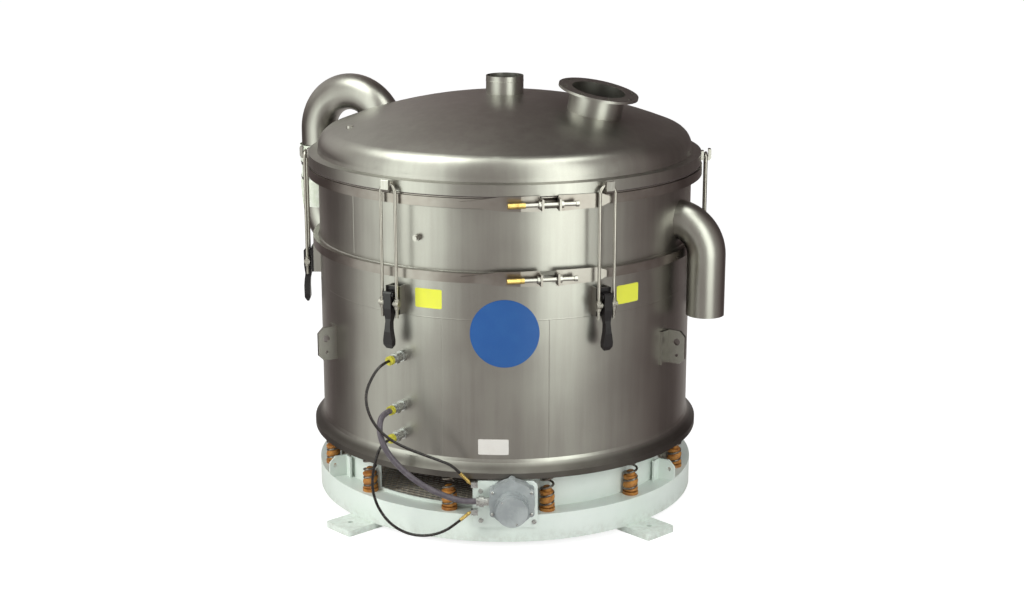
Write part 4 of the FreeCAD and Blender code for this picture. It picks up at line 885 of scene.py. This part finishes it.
def seen_directly(bench):
    """1 for rays that come straight from the camera, a mirror or a glass, otherwise 0."""
    path = [bench.node("ShaderNodeLightPath", output=name) for name in ("Is Camera Ray", "Is Glossy Ray", "Is Transmission Ray")]
    return path[0].larger(path[1]).larger(path[2])


def studio_floor():
    """A matt white floor that reads as white and keeps the machine's shadow, with a painted shadow that keeps its glow
    near black inside the ring.
    """
    f = Finish("floor_white")
    speck = f.noise(3.0, 2.0)
    matt = f.node("ShaderNodeBsdfDiffuse", {}, {0: f.mix(speck, (0.86, 0.86, 0.86), (0.89, 0.89, 0.89))})
    x, y = f.part_of_place(0), f.part_of_place(1)
    # Painted shadow: the glow is near black inside the base ring, under the machine, and white outside it.
    shade = (x * x + y * y).root().span(0.66, 0.74)
    glow = f.node("ShaderNodeEmission", {}, {0: f.mix(shade, (0.012, 0.010, 0.009), (1.0, 1.0, 1.0)), 1: 1.6})
    both = f.node("ShaderNodeMixShader", {}, {0: seen_directly(f) * 0.5, 1: matt, 2: glow})
    f.node("ShaderNodeOutputMaterial", {}, {0: both})
    return stage_piece("floor", [(-30, -30, 0), (30, -30, 0), (30, 30, 0), (-30, 30, 0)], [(0, 1, 2, 3)],
                       f.material, ("glossy",))


def light_tent():
    """A studio tent that only bright metal sees: grey cloth, darker behind, with soft boxes behind it at the
    left, at the right of the middle and overhead."""
    f = Finish("tent_cloth")
    x, y, z = f.part_of_place(0), f.part_of_place(1), f.part_of_place(2)
    flat = (x * x + y * y).root()
    towards = (y * -1.0) / flat

    def strip(turn, inner, outer):
        """1 within the inner angle of a turn round the machine, 0 beyond the outer one."""
        angle = math.radians(turn)
        near = (x * math.sin(angle) - y * math.cos(angle)) / flat
        return near.span(math.cos(math.radians(outer)), math.cos(math.radians(inner)))

    def box(turn, lift, inner, outer):
        """The same round a direction that is lifted above the level."""
        angle, up = math.radians(turn), math.radians(lift)
        near = (x * (math.sin(angle) * math.cos(up)) - y * (math.cos(angle) * math.cos(up))
                + (z - 0.9) * math.sin(up)) / TENT
        return near.span(math.cos(math.radians(outer)), math.cos(math.radians(inner)))

    upper = z.span(-0.25, 0.6)
    bright = 0.10 + 0.44 * towards.span(-0.35, 0.75)
    bright = bright + strip(-76, 5, 18) * 0.75 + strip(-47, 9, 24) * upper * 1.9
    bright = bright + strip(33, 10, 18) * upper * 3.0
    bright = bright + (x * -1.0).span(-0.6, 3.0, 0.0, 0.60) * z.span(1.2, 2.4) * towards.span(0.2, -0.4)
    bright = bright + box(-81, 62, 9, 23) * 4.4 + box(62, 67, 3, 12) * 5.0
    bright = bright + strip(180, 20, 60) * z.span(0.9, 0.2) * 0.5
    tint = f.mix(bright.span(0.08, 0.5), (1.14, 0.91, 0.89), (1.02, 0.97, 0.92))
    tint = f.mix(bright.span(0.5, 1.6), tint, (0.94, 1.0, 0.92))
    lit = f.node("ShaderNodeVectorMath", {"operation": "SCALE"}, {0: tint, 3: bright})
    f.node("ShaderNodeOutputMaterial", {}, {0: f.node("ShaderNodeEmission", {}, {0: lit, 1: 1.0})})
    lift, turn = np.radians(np.linspace(-90, 90, 25)), np.linspace(0, 360, 49)[:-1]
    ball = round_machine(TENT * np.cos(lift)[:, None], turn[None], 0.9 + TENT * np.sin(lift)[:, None])
    return stage_piece("light_tent", ball, quads(ball, round_columns=True), f.material,
                       ("camera", "diffuse", "shadow", "transmission", "volume_scatter"))


TENT = 3.4
studio_floor()
light_tent()


def lamp(name, turn, distance, height, width, tall, power, colour=(1, 1, 1)):
    """A soft box at a turn round the machine, aimed at its middle."""
    light = bpy.data.lights.new(name, "AREA")
    light.shape = "RECTANGLE"
    light.size, light.size_y = width, tall
    light.energy = power
    light.color = colour
    made = bpy.data.objects.new(name, light)
    place = round_machine(distance, turn, height)
    made.location = place
    away = np.array([0, 0, 0.9]) - place
    made.rotation_euler = (math.acos(-away[2] / np.linalg.norm(away)), 0, math.atan2(away[1], away[0]) - math.pi / 2)
    made.visible_glossy = False
    bpy.context.scene.collection.objects.link(made)
    return made


lamp("left_box", -60, 5.2, 3.1, 1.5, 2.4, 150, (1.0, 1.0, 0.96))
lamp("right_box", 34, 5.6, 3.2, 0.9, 2.4, 95, (0.98, 1.0, 0.97))
lamp("top_box", 20, 0.9, 5.6, 3.0, 3.0, 60)

world = bpy.data.worlds.new("studio")
bpy.context.scene.world = world
world.use_nodes = True
air = Bench(world.node_tree)
air.node("ShaderNodeOutputWorld", {}, {0: air.node("ShaderNodeBackground", {}, {
    0: (1, 1, 1, 1), 1: 0.52 + seen_directly(air) * 0.48})})
bpy.context.scene.view_settings.view_transform = "Standard"
